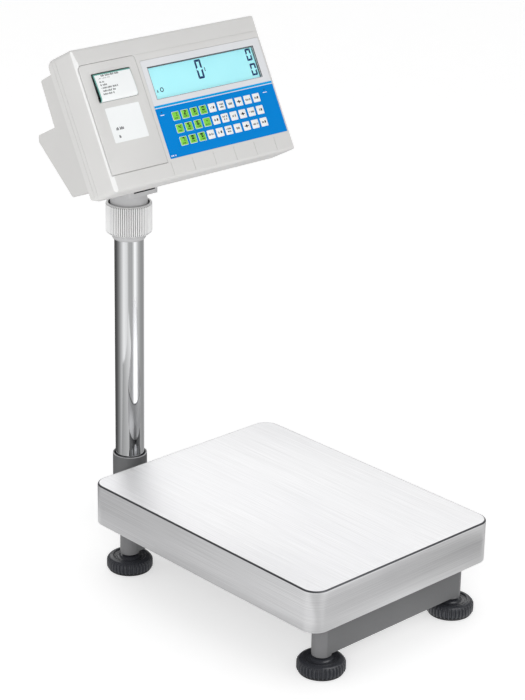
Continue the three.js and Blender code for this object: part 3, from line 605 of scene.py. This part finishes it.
def column():
    outer, rim, wall = COLUMN_R, COLUMN_R - 0.2, COLUMN_R - 1.7
    tube = lathe([(wall, 40.3), (rim, 40.3), (outer, 40.6), (outer, 429.2), (rim, 429.5), (wall, 429.5)], 160)
    piece("column", shift(tube, y=COLUMN_Y), "base_frame", CHROME, smooth=25,
          stands_for=["column_tube"])
    face = LEG_Y + LEG_R + 0.3
    plate = prism(rectangle(-60, 60, 27, 63, 5, 6), face, face + 6, "y")
    arm = prism(rectangle(-24, 24, 36, 64, 3, 4), face + 3, COLUMN_Y - 8, "y")
    cup = lathe([(0, 34), (21.4, 34), (22.6, 35.2), (22.6, 83.1), (22.2, 83.5), (0, 83.5)], 96)
    cup = shift(cup, y=COLUMN_Y)
    bore = shift(lathe([(0, 40), (19.35, 40), (19.35, 80), (20.9, 82), (21.2, 84), (0, 84)], 96), y=COLUMN_Y)
    drain = shift(lathe([(0, 30), (9, 30), (9, 45), (0, 45)], 48), y=COLUMN_Y)
    hollow = prism(rectangle(-21, 21, 30, 61), face + 6, COLUMN_Y - 23.6, "y")
    bolts = bracket_holes(face - 1, face + 8)
    screw = shift(prism(ring_of(24, 3.3), COLUMN_Y + 5, COLUMN_Y + 30, "y"), z=60)
    made = piece("column_socket", cup, "base_frame", [SOCKET_PAINT, SOCKET_RIM_HIGHLIGHT, GAP_SHADE],
                 joins=[arm, plate], cuts=[hollow, bore, drain, screw, *bolts], stands_for=["column_bracket"])
    for polygon in made.data.polygons:
        radius, z = from_column(polygon.center)
        # painted highlight: the cup's top rim and chamfer take the lighter grey
        if z > 83.0 and radius > 21.1:
            polygon.material_index = 1
        # painted shade: the upper inside of the bore is near-black
        elif z > 70 and radius < 21.0:
            polygon.material_index = 2


def swivel_hub():
    bore = 19.3
    profile = [(bore, 382.6), (bore + 0.5, 382.1), (20.4, 382.3), (21.6, 384), (22.2, 386.4), (22.2, 391),
               (23.4, 393), (23.4, 425), (24.3, 428), (24, 431), (23.4, 437), (22.9, 441), (22.7, 444.2),
               (22.0, 445), (8, 445), (8, 429.8), (bore, 429.8)]
    slit = prism(rectangle(-1, 1, 0, 40), 380, 412)
    piece("hub_sleeve", shift(lathe(profile, 128), y=COLUMN_Y), "swivel", NECK_PLASTIC,
          cuts=[shift(slit, y=COLUMN_Y)], smooth=50, stands_for=["swivel_hub"])


def clamp_collar():
    def ribs(a, r, z):
        if r < COLLAR_R - 1.5 or not 391.5 < z < 429.5:
            return 0
        return rib(a, COLLAR_RIBS, 0.75, 1.7, 0.25)

    skirt = [(23.75, 390), (26.6, 390), (27.8, 390.6), (28.7, 391.4), (29.5, 392.2), (COLLAR_R, 393),
             (COLLAR_R, 428.2), (29.5, 429.2), (28.9, 430.2), (28.2, 430.8), (27.4, 431), (26.8, 430.8),
             (26.2, 430.2)]
    inner = [(26.1, 417), (23.75, 416)]
    made = piece("clamp_ring", shift(lathe(skirt + inner, COLLAR_RIBS * 10, ribs), y=COLUMN_Y), "collar",
                 [COLLAR_PLASTIC, GAP_SHADE, COLLAR_GROOVE_SHADE, COLLAR_RIDGE_HIGHLIGHT], smooth=60,
                 stands_for=["clamp_collar"])
    for polygon in made.data.polygons:
        radius, z = from_column(polygon.center)
        # painted shade: the inside of the collar's top lip is near-black
        if radius < 26.2 and z > 410:
            polygon.material_index = 1
        # painted shade and highlight: rib grooves take the darker grey, rib crests the lighter one
        elif radius > 26.5 and 392.2 < z < 429:
            polygon.material_index = 2 if radius < COLLAR_R - 0.6 else 3
    wedge = lathe([(23.7, 417.6), (25.4, 417.6), (25.6, 418), (25.6, 422.4), (24.8, 423), (23.7, 423)], 96)
    piece("compression_ring", shift(wedge, y=COLUMN_Y), "collet", BLACK_ABS,
          stands_for=["collet_ring"])


def neck():
    half, ear, y, z = 23.4, 12.6, 298, 490
    foot = prism(rectangle(-half, half, 274, 326, 3.5, 6), 445.3, 461)
    cheeks = prism([(279.8, 455), (316.4, 455), (315, z), (281, z)], -half, half, "x")
    top = rod_across(17, -half, half, 72)
    bolt_hole = rod_across(5.3, -30, 30, 40)
    cuts = [prism(rectangle(-ear, ear, 270, 330), 461, 520),
            shift(bolt_hole, 0, y, z),
            prism(rectangle(-17, 17.5, 450.8, 454.4, 1.0, 3), 270, 281, "y"),
            shift(lathe([(0, 440), (8, 440), (8, 463), (0, 463)], 40), y=COLUMN_Y)]
    made = piece("neck_yoke", foot, "swivel", [NECK_PLASTIC, GAP_SHADE],
                 joins=[cheeks, shift(top, 0, y, z)], cuts=cuts, bevel=0.8, stands_for=["neck_bracket"])
    to_local = TO_ROW.inverted()
    for polygon in made.data.polygons:
        px, py, pz = to_local @ polygon.center
        # painted shade: the walls of the slot in the yoke's front are near-black
        if 274.1 < py < 281.1 and 450.7 < pz < 454.5 and abs(px) < 17.6:
            polygon.material_index = 1


# ---- head ----------------------------------------------------------------------------
def groove_ring(x, s0, s1, t, width=0.5, depth=0.45):
    """A tool that cuts a line round the housing at depth t."""
    outer = rectangle(-x - 2, x + 2, s0 - 2, s1 + 2)
    inner = rectangle(-x + depth, x - depth, s0 + depth, s1 - depth)
    loops = [[(a, level, b) for a, b in shape] for shape, level in
             ((outer, t), (inner, t), (inner, t + width), (outer, t + width), (outer, t))]
    bm = stacked(loops, False, False)
    bmesh.ops.remove_doubles(bm, verts=bm.verts, dist=1e-5)
    bmesh.ops.recalc_face_normals(bm, faces=bm.faces)
    return bm


def front_shell():
    section = rounded([(0, 97.6), (0, 253.5), (2.2, 270.4), (5.0, 273.2), (46.5, HEAD_HIGH),
                       (FRONT_DEPTH, 266.6), (FRONT_DEPTH, 102.2), (43.4, HEAD_LOW)],
                      [5, 0, 2.0, 2.5, 1.6, 1.2, 1.2, 1.6], 6)
    plan = [(-HEAD_HALF, 60), (-HEAD_HALF, EDGE_CUT), (-HEAD_HALF + EDGE_CUT, 0), (HEAD_HALF - EDGE_CUT, 0),
            (HEAD_HALF, EDGE_CUT), (HEAD_HALF, 60)]
    shell = as_object("shell", prism(section, -HEAD_HALF, HEAD_HALF, "x"))
    boolean(shell, prism(rounded(plan, [0, 0.9, 0.9, 0.9, 0.9, 0], 4), 80, 300), "INTERSECT")
    front = rectangle(-HEAD_HALF, HEAD_HALF, HEAD_LOW, HEAD_HIGH, 6, 8)
    boolean(shell, prism(front, -5, 60, "y"), "INTERSECT")
    wall = 3
    inside = rectangle(-HEAD_HALF + wall, HEAD_HALF - wall, 101, 270.2, 4)
    cavity = prism(inside, wall, FRONT_DEPTH - 6.3, "y")
    rear = prism(rectangle(-138.6, 138.6, 114, 256, 3), 40, 55, "y")
    x0, x1, s0, s1 = FILM
    pocket = prism(rectangle(x0 - 0.35, x1 + 0.35, s0 - 0.35, s1 + 0.35, 1.2), -5, 1.1, "y")
    a0, a1, b0, b1 = DISPLAY
    hole = prism(rectangle(a0 - 2.3, a1 + 2.3, b0 - 2.3, b1 + 2.3), -5, 4, "y")
    c0, c1, d0, d1 = COVER
    c0, c1, d0, d1 = c0 - 0.5, c1 + 0.5, d0 - 0.4, d1 + 0.5
    bay = prism(rounded([(c0, d0), (c1, d0), (c1, d1), (c0, d1)], [0.5, 0.5, 5, 5], 6), -5, 4, "y")
    grooves = [prism(rectangle(x - 0.45, x + 0.45, 101.2, 118.4, 0.4, 2), -5, 0.6, "y")
               for x in (-54.3, -20.6, 13, 46.6, 80.2, 113.8)]
    ledge = prism(rectangle(c1 + 1.7, 141.8, 251.7, 252.4), -5, 0.5, "y")
    edge = prism(rectangle(141.2, 141.8, 118, 252.4), -5, 0.5, "y")
    rings = [groove_ring(HEAD_HALF, 97.6, 273.9, t) for t in (36.5, 43.2)]
    made = piece("front_housing", taken_back(shell), "head", [ABS, ABS_EDGE_HIGHLIGHT],
                 place=TO_HEAD, smooth=24, stands_for=["front_shell"],
                 cuts=[cavity, rear, pocket, hole, bay, ledge, edge, *rings, *grooves])
    to_local = TO_HEAD.inverted()
    # painted highlight: the side chamfers take the lighter plastic
    for polygon in made.data.polygons:
        x, t, _ = to_local @ polygon.center
        if 0.4 < t < EDGE_CUT - 0.2 and abs(HEAD_HALF - abs(x) + t - EDGE_CUT) < 0.3:
            polygon.material_index = 1


def back_shell():
    start = FRONT_DEPTH + 0.3
    outline = rounded([(start, 111.5), (86.5, 113.9), (117.9, 192.5), (113.8, 199.8), (78.5, 199.6),
                       (76.4, 257.4), (start, 258.3)], [0, 3, 3, 2, 1, 3, 0], 5)
    inner = rounded([(45, 114.5), (84.4, 117), (114, 191.2), (112.2, 196.7), (75.4, 196.7), (73.5, 254.4),
                     (45, 255.3)], [0, 2, 2, 1, 1, 2, 0], 3)
    body = prism(outline, -BACK_HALF, BACK_HALF, "x")
    cuts = [prism(inner, -BACK_HALF + 3, BACK_HALF - 3, "x")]
    for sx, s in ((-1, 123), (1, 123), (-1, 247), (1, 247)):
        cuts.append(shift(prism(ring_of(32, 4.2), 58, 130, "y"), x=sx * 133, z=s))
    cuts.append(prism(rectangle(58.7, 91.3, 219.7, 234.3), 70, 90, "y"))
    cuts.append(shift(prism(ring_of(32, 5.8), 70, 90, "y"), x=112, z=227))
    cuts.append(shift(lathe([(0, 105), (6.3, 105), (6.3, 118), (0, 118)], 32), 62, 68))
    for k in range(14):
        x = -110 + 6 * k
        cuts.append(prism(rectangle(x, x + 2.4, 214, 244, 1.1, 3), 70, 90, "y"))
    piece("back_housing", body, "head", ABS_BACK, place=TO_HEAD, cuts=cuts,
          stands_for=["back_shell"], smooth=40)


def printer_cover():
    x0, x1, s0, s1 = COVER
    shape = rounded([(x0, s0 + 0.5), (x1, s0 + 0.5), (x1, s1), (x0, s1)], [0.5, 0.5, 4.6, 4.6], 8)
    w0, w1, w2, w3 = WINDOW
    window = prism(rectangle(w0, w1, w2, w3, 1.2, 4), -2, 6, "y")
    barrel = rod_across(1.5, x0, x1, 32)
    piece("label_cover", prism(shape, 0, 3, "y"), "cover", ABS, place=TO_HEAD,
          joins=[shift(barrel, 0, 1.5, s0 + 1.5)], cuts=[window], bevel=0.35, stands_for=["printer_cover"])
    sticker = prism(rectangle(-124.6, -73.2, 154.4, 197, 1.2, 3), -0.16, -0.02, "y")
    piece("cover_sticker", sticker, "cover", PAPER, place=TO_HEAD)
    marks = word_marks(-117.4, 169.0, 11.5, 3.7, 1) + word_marks(-116.2, 159.6, 4.4, 3.6, 2)
    print_piece("sticker_print", marks, -0.14, 0.06, INK, "cover")


# ---- display and keypad --------------------------------------------------------------
SEGMENTS = {"0": "abcdef", "1": "bc", "2": "abged", "3": "abgcd", "4": "fgbc", "5": "afgcd", "6": "afgedc",
            "7": "abc", "8": "abcdefg", "9": "abcdfg"}


def digit_shapes(value, x, s, width, height, stroke, slant=0.0):
    """Seven-segment strokes as outlines; x and s are the digit's lower left corner."""
    h, w, t, g = height, width, stroke, stroke * 0.12
    m = h / 2
    bars = {
        "a": [(g, h), (w - g, h), (w - t, h - t), (t, h - t)],
        "d": [(g, 0), (t, t), (w - t, t), (w - g, 0)],
        "g": [(t, m + t / 2), (w - t, m + t / 2), (w - t * 0.5, m), (w - t, m - t / 2), (t, m - t / 2),
              (t * 0.5, m)],
        "f": [(0, h - g), (t, h - t), (t, m + t * 0.7), (0, m + g)],
        "e": [(0, m - g), (t, m - t * 0.7), (t, t), (0, g)],
        "b": [(w, h - g), (w, m + g), (w - t, m + t * 0.7), (w - t, h - t)],
        "c": [(w, m - g), (w, g), (w - t, t), (w - t, m - t * 0.7)],
    }
    return [[(x + a + b * slant, s + b) for a, b in bars[name]] for name in SEGMENTS[value]]


def word_marks(x, s, width, height, seed=0):
    """A row of short strokes that stands where small print would be."""
    marks, at, number = [], x, seed
    while at < x + width - 0.4:
        stroke = (0.5, 0.75, 0.45, 0.9)[number % 4]
        tall = height * (1.0, 0.72, 0.86)[number % 3]
        if number % 7 != 5:
            marks.append(rectangle(at, at + stroke, s, s + tall))
        at += stroke + (0.35, 0.5, 0.3)[number % 3]
        number += 1
    return marks


def printed(outlines, t, thickness):
    """Thin printed shapes lying on the panel at depth t."""
    return merged(*[prism(points, t - thickness, t, "y") for points in outlines])


def print_piece(name, outlines, t, thickness, material, body="head"):
    piece(name, printed(outlines, t, thickness), body, material, place=TO_HEAD)


def keypad():
    x0, x1, s0, s1 = FILM
    a0, a1, b0, b1 = DISPLAY
    sheet = prism(rectangle(x0, x1, s0, s1, 1.2, 4), FILM_FACE, FILM_BACK, "y")
    hole = prism(rectangle(a0, a1, b0, b1, 0.6, 3), -1, 2, "y")
    piece("overlay_film", sheet, "head", FILM_SILVER, place=TO_HEAD, cuts=[hole],
          stands_for=["keypad_overlay"])
    stripe = rectangle(x0, x1, 184.4, 187.1)
    print_piece("overlay_stripe", [stripe], FILM_FACE, 0.05, FILM_CYAN)
    field = rectangle(x0 - 0.2, x1 + 0.2, s0 - 0.2, 183.4, 1.0, 4)
    print_piece("overlay_keyfield", [field], FILM_FACE, 0.05, FILM_BLUE)
    keys()


KEY = {"x": -30.4, "s": 165.0, "dx": 14.6, "ds": 15.7, "w": 11.2, "h": 10.9}
KEY_DIGITS = ("1230", "456.", "789")


def keys():
    borders, green, white, dark = [], [], [], []
    for row in range(3):
        for column_number in range(10):
            x = KEY["x"] + column_number * KEY["dx"]
            s = KEY["s"] - row * KEY["ds"]
            borders.append(rectangle(x, x + KEY["w"], s, s + KEY["h"], 0.9, 3))
            face = rectangle(x + 0.45, x + KEY["w"] - 0.45, s + 0.45, s + KEY["h"] - 0.45, 0.7, 3)
            if column_number < len(KEY_DIGITS[row]):
                green.append(face)
                dark += key_digit(KEY_DIGITS[row][column_number], x, s)
            else:
                white.append(face)
                dark += key_symbol(row * 10 + column_number, x, s)
    domes = [("key_edges", borders, KEY_WHITE, 0.0, 0.12), ("number_keys", green, KEY_GREEN, 0.12, 0.22),
             ("function_keys", white, KEY_WHITE, 0.12, 0.22), ("key_legends", dark, INK, 0.34, 0.03)]
    for name, outlines, material, proud, height in domes:
        piece(name, printed(outlines, FILM_PRINT - proud, height), "head", material,
              place=TO_HEAD, bevel=0.08 if height > 0.1 else 0, segments=2)


def key_digit(value, x, s):
    if value == ".":
        marks = [rectangle(x + 4.9, x + 6.5, s + 6.3, s + 7.9, 0.6)]
    else:
        marks = digit_shapes(value, x + 3.6, s + 4.5, 4.0, 5.4, 1.5)
    return [*marks, *word_marks(x + 2.9, s + 1.9, 5.6, 1.7, int(x) % 5)]


def key_symbol(number, x, s):
    """Plain marks that stand where the key words are."""
    cx, cs = x + KEY["w"] / 2, s + KEY["h"] / 2
    kind = number % 5
    if kind == 0:
        upper = word_marks(cx - 3.6, cs + 0.7, 7.2, 2.3, number)
        return [*upper, *word_marks(cx - 2.4, cs - 2.7, 5, 2.3, number + 2)]
    if kind == 1:
        return word_marks(cx - 3.0, cs - 1.5, 6.2, 3.0, number)
    if kind == 2:
        diamond = [(cx, cs + 2.4), (cx - 1.7, cs), (cx, cs - 2.4), (cx + 1.7, cs)]
        return [rectangle(cx - 3.4, cx + 3.4, cs - 0.5, cs + 0.5, 0.3), diamond]
    if kind == 3:
        return word_marks(cx - 3.7, cs - 1.2, 7.6, 2.5, number)
    block = rectangle(cx + 0.8, cx + 3.0, cs - 1.4, cs + 1.6, 0.5)
    return [*word_marks(cx - 3.2, cs - 1.4, 3.0, 3.0, number), block]


def display():
    a0, a1, b0, b1 = DISPLAY
    # the gasket's walls are near-black so that the recess reads as shade
    surround = prism(rectangle(a0 - 2.2, a1 + 2.2, b0 - 2.2, b1 + 2.2), 1.25, 3.3, "y")
    opening = prism(rectangle(a0 + 0.2, a1 - 0.2, b0 + 0.2, b1 - 0.2), 0, 6, "y")
    piece("display_gasket_shadow", surround, "head", GASKET_SHADOW, place=TO_HEAD, cuts=[opening],
          stands_for=["display_lens"])
    window = prism(rectangle(a0 + 0.4, a1 - 0.4, b0 + 0.4, b1 - 0.4, 0.4, 2), 1.4, 2.0, "y")
    piece("display_window", window, "head", GLASS, place=TO_HEAD)
    panel = prism(rectangle(a0 - 6, a1 + 6, b0 - 6, b1 + 6, 1, 3), LCD_FACE, 12, "y")
    piece("display_panel", panel, "head", LCD, place=TO_HEAD, stands_for=["lcd_module"],
          bevel=0.4)
    segments = digit_shapes("0", 30.4, 208.4, 9.8, 24, 2.7, 0.02)
    segments += digit_shapes("0", 114.5, 217.6, 8.6, 15.4, 2.3, 0.02)
    segments += digit_shapes("0", 115.2, 198.4, 9.0, 15.4, 2.3, 0.02)
    print_piece("display_segments", segments, LCD_PRINT, 0.05, LCD_INK)
    ring = lathe([(1.7, -0.03), (2.9, -0.03), (2.9, 0.03), (1.7, 0.03)], 40)
    arrow = [(-38.6, 203), (-36.4, 203), (-37.5, 207)]
    marks = merged(shift(moved(ring, Matrix.Rotation(math.pi / 2, 4, "X")), -30.6, 3.34, 205.4),
                   printed([rectangle(43.2, 44.3, 216.4, 221.4, 0.3), arrow], LCD_PRINT, 0.05))
    piece("display_marks", marks, "head", LCD_MARK, place=TO_HEAD)
    # painted shadow: dark strips along the top and right edges of the display opening
    border = [rectangle(a0 - 0.9, a1 + 1.4, b1, b1 + 1.1), rectangle(a1, a1 + 1.4, b0, b1)]
    print_piece("display_recess_shadow", border, FILM_FACE, 0.04, GASKET_SHADOW)
    # painted shade: a thin grey line along the lower and left edges of the display opening
    fine = [rectangle(a0 - 0.9, a1 + 1.4, b0 - 0.7, b0), rectangle(a0 - 0.9, a0, b0, b1)]
    print_piece("display_recess_edge_shade", fine, FILM_FACE, 0.04, RECESS_EDGE_SHADE)


def panel_marks():
    white = [*word_marks(-50.6, 123.6, 7.4, 1.9), rectangle(-47.4, -41.4, 174.2, 175.1, 0.3),
             rectangle(119.6, 126.2, 174.2, 175.1, 0.3)]
    print_piece("lamp_captions", white, FILM_PRINT, 0.03, WHITE_INK)
    lamps = [ring_of(20, 0.75, -44.4, 178.2), ring_of(20, 0.75, 122.9, 178.2)]
    print_piece("lamps", lamps, FILM_PRINT, 0.06, INK)


# ---- label printer -------------------------------------------------------------------
LABEL_ROWS = ((11, 27), (6, 18), (6, 7), (6, 9), (6, 24), (6, 20), (6, 16))  # start and width of each row


def label():
    """The printed label on its liner: it comes out of the window's lower edge and lies up the panel."""
    route = [(20.1, 196), (20, 202), (16.5, 206.6), (9.5, 207.3), (3.6, 205.9), (-0.4, 205.2), (-3, 207.6),
             (-3.2, 215), (-2.6, 226), (-1.6, 238.4)]
    line = smooth_line(route, 6)
    x0, x1 = -127.9, -71.9

    def ribbon(points, low, high, lift, thickness):
        left, right = [], []
        for k, (t, s) in enumerate(points):
            before, after = points[max(k - 1, 0)], points[min(k + 1, len(points) - 1)]
            along = Vector((after[0] - before[0], after[1] - before[1])).normalized()
            out = Vector((-along.y, along.x))
            left.append((t + out.x * (lift + thickness), s + out.y * (lift + thickness)))
            right.append((t + out.x * lift, s + out.y * lift))
        return prism([*left, *right[::-1]], low, high, "x")

    piece("label_liner", ribbon(line, x0, x1, -0.08, 0.16), "head", LINER, place=TO_HEAD,
          stands_for=["label_strip"])
    face = [p for p in line if p[0] < 2 and p[1] < 237.6]
    piece("printed_label", ribbon(face, x0 + 1.6, x1 - 0.2, 0.1, 0.12), "head", PAPER,
          place=TO_HEAD)
    rows = []
    for number, (start, width) in enumerate(LABEL_ROWS):
        s = 234.6 - 3.7 * number
        depth = min(face, key=lambda p: abs(p[1] - s - 0.9) if p[0] < -1.4 else 99)[0] - 0.2
        rows.append(shift(printed(word_marks(x0 + start, s, width, 2.2, number), 0.05, 0.13), y=depth))
    piece("label_print", merged(*rows), "head", LABEL_INK, place=TO_HEAD)


def smooth_line(points, steps):
    """A Catmull-Rom line through the points."""
    made = []
    padded = [points[0], *points, points[-1]]
    for k in range(len(points) - 1):
        a, b, c, d = (Vector(p) for p in padded[k:k + 4])
        for step in range(steps):
            u = step / steps
            made.append(tuple(0.5 * ((2 * b) + (c - a) * u + (2 * a - 5 * b + 4 * c - d) * u ** 2
                                     + (3 * b - a - 3 * c + d) * u ** 3)))
    made.append(tuple(points[-1]))
    return made


# ---- CAD nodes that stay, with rounded edges ------------------------------------------
KEPT = {
    "spine_channel": FRAME_PAINT, "spider": FRAME_PAINT, "load_cell": ALUMINIUM, "lower_spacer": ZINC,
    "upper_spacer": ZINC,
    **{f"{level}_bolt_{k}": ZINC for level in ("upper", "lower", "bracket") for k in (1, 2)},
    "column_screw": ZINC, "tilt_bolt": ZINC, "tilt_nut": ZINC,
    **{f"shell_screw_{k}": ZINC for k in (1, 2, 3, 4)},
    "serial_port": ZINC, "power_inlet": BLACK_ABS, "cable_gland": BLACK_ABS, "battery": BLACK_ABS,
    "printer_mechanism": BLACK_ABS, "main_board": BOARD, "paper_roll": PAPER, "platen_roller": RUBBER,
    "bubble_level": FILM_SILVER, "tilt_plate": NECK_PLASTIC,
    **{f"pan_bumper_{corner}": RUBBER for corner, _, _ in CORNERS},
    **{f"overload_stop_{corner}": ZINC for corner, _, _ in CORNERS},
}


def keep_nodes():
    for name, material in KEPT.items():
        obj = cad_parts[name]
        obj.data.materials.clear()
        obj.data.materials.append(material)
        weld = obj.modifiers.new("weld", "WELD")
        weld.merge_threshold = 0.00001
        flat = obj.modifiers.new("flat", "DECIMATE")
        flat.decimate_type = "DISSOLVE"
        flat.angle_limit = math.radians(1)
        bevel = obj.modifiers.new("bevel", "BEVEL")
        bevel.width = 0.4 * MM
        bevel.segments = 2
        bevel.limit_method = "ANGLE"
        bevel.angle_limit = math.radians(32)


# ---- studio --------------------------------------------------------------------------
# in metres and degrees. The bands are what metal sees round the column, as (angle, brightness);
# their angles count from STUDIO_FACING, which itself counts from +X
STUDIO_FACING = -129.72
LOW_BANDS = ((-180, 0.30), (-150, 0.06), (-112, 0.10), (-88, 0.25), (-66, 0.52), (-44, 0.92), (-16, 0.76),
             (-4, 0.44), (22, 0.42), (32, 0.70), (44, 1.15), (56, 0.88), (74, 0.50), (96, 0.34), (124, 0.30),
             (168, 0.55), (180, 0.30))
HIGH_BANDS = ((-180, 1.54), (-146, 1.6), (-128, 0.12), (-60, 0.06), (22, 0.05), (33, 2.4), (60, 2.4),
              (70, 0.3), (94, 0.10), (100, 0.12), (116, 1.36), (150, 1.38), (168, 1.42), (180, 1.54))
TENT_RADIUS, TENT_FLOOR, TENT_SPLIT, TENT_TOP = 0.9, 0.0015, 0.34, 1.7
CARD_LOW, CARD_HIGH = 0.0025, 0.003
FLOOR_REACH = 12
LIGHTS = (("key", (-2.0, -1.7, 1.3), 1.3, 22), ("top", (0.3, 0.2, 2.6), 1.8, 5))  # name, place, size, power


def emission(tree, colour_socket, strength):
    shader = node(tree, "ShaderNodeEmission")
    shader.inputs["Strength"].default_value = strength
    tree.links.new(colour_socket, shader.inputs["Color"])
    return shader.outputs["Emission"]


def banded(name, bands):
    material, tree, _ = new_material(name)
    place = position_in(tree)
    angle = node(tree, "ShaderNodeMath", operation="ARCTAN2")
    tree.links.new(place.outputs["Y"], angle.inputs[0])
    tree.links.new(place.outputs["X"], angle.inputs[1])
    stops = [((degrees + 180) / 360, (value,) * 3) for degrees, value in bands]
    colour = ramp(tree, angle.outputs["Value"], stops, -math.pi, math.pi)
    tree.links.new(emission(tree, colour, 1.0), tree.nodes["Material Output"].inputs["Surface"])
    return material


def only_reflected(obj):
    for ray in ("camera", "diffuse", "transmission", "shadow", "volume_scatter"):
        setattr(obj, f"visible_{ray}", False)


def tent():
    """Rings of light and dark bands standing round the column, seen only in reflections."""
    column_place = TO_ROW @ Vector((0, COLUMN_Y, 0))
    place = (Matrix.Translation((column_place.x, column_place.y, 0))
             @ Matrix.Rotation(math.radians(STUDIO_FACING), 4, "Z"))
    low = [(0.03, TENT_FLOOR), (TENT_RADIUS, TENT_FLOOR), (TENT_RADIUS, TENT_SPLIT)]
    high = [(TENT_RADIUS, TENT_SPLIT), (TENT_RADIUS, TENT_TOP)]
    for name, profile, bands in (("tent_low", low, LOW_BANDS), ("tent_high", high, HIGH_BANDS)):
        loops = [[(x, y, z) for x, y in ring_of(96, radius)] for radius, z in profile]
        wall = as_object(name, stacked(loops, False, False))
        wall.data.materials.append(banded(name, bands))
        wall.matrix_world = place
        only_reflected(wall)


def floor_card(name, x0, x1, y0, y1, axis, near, far):
    """A card beside the pan that its skirt reflects; brightness runs from near to far along an axis."""
    material, tree, _ = new_material(name)
    place = position_in(tree)
    low, high = (x0, x1) if axis == "X" else (y0, y1)
    colour = ramp(tree, place.outputs[axis], [(0.0, (near,) * 3), (1.0, (far,) * 3)], low, high)
    tree.links.new(emission(tree, colour, 1.0), tree.nodes["Material Output"].inputs["Surface"])
    card = as_object(name, prism(rectangle(x0, x1, y0, y1), CARD_LOW, CARD_HIGH))
    card.data.materials.append(material)
    only_reflected(card)


def sky(world):
    """Even studio light, a little darker overhead."""
    tree = world.node_tree
    background = tree.nodes["Background"]
    place = position_in(tree, "Generated")
    colour = ramp(tree, place.outputs["Z"], [(0.0, (0.95, 0.95, 0.95)), (0.5, (0.9, 0.9, 0.9)),
                                             (1.0, (0.35, 0.35, 0.35))], 0.0, 1.0)
    tree.links.new(colour, background.inputs["Color"])
    background.inputs["Strength"].default_value = 0.92


def studio():
    world = bpy.data.worlds.new("studio")
    scene.world = world
    world.use_nodes = True
    sky(world)
    floor_material = moulded("studio_floor", (0.65, 0.65, 0.65), 0.8, 60, 0.0, 0.01)
    floor_shader = floor_material.node_tree.nodes["Principled BSDF"]
    floor_shader.inputs["Emission Color"].default_value = (1, 1, 1, 1)
    floor_shader.inputs["Emission Strength"].default_value = 0.55
    plate = rectangle(-FLOOR_REACH, FLOOR_REACH, -FLOOR_REACH, FLOOR_REACH)
    floor = as_object("floor", prism(plate, -0.02, 0.0))
    floor.data.materials.append(floor_material)
    tent()
    floor_card("front_card", -0.1, 0.3, -0.5, -0.29, "X", 0.5, 0.12)
    floor_card("left_card", -0.55, -0.17, -0.32, 0.3, "Y", 0.85, 0.32)
    for name, place, size, power in LIGHTS:
        data = bpy.data.lights.new(name, "AREA")
        data.size = size
        data.energy = power
        lamp = bpy.data.objects.new(name, data)
        lamp.location = place
        lamp.rotation_euler = (Vector((0, 0, 0.3)) - Vector(place)).to_track_quat("-Z", "Y").to_euler()
        scene.collection.objects.link(lamp)
    scene.view_settings.view_transform = "Standard"


pan()
frame_beams()
levelling_feet()
column()
swivel_hub()
clamp_collar()
neck()
front_shell()
back_shell()
printer_cover()
keypad()
panel_marks()
display()
label()
keep_nodes()
studio()
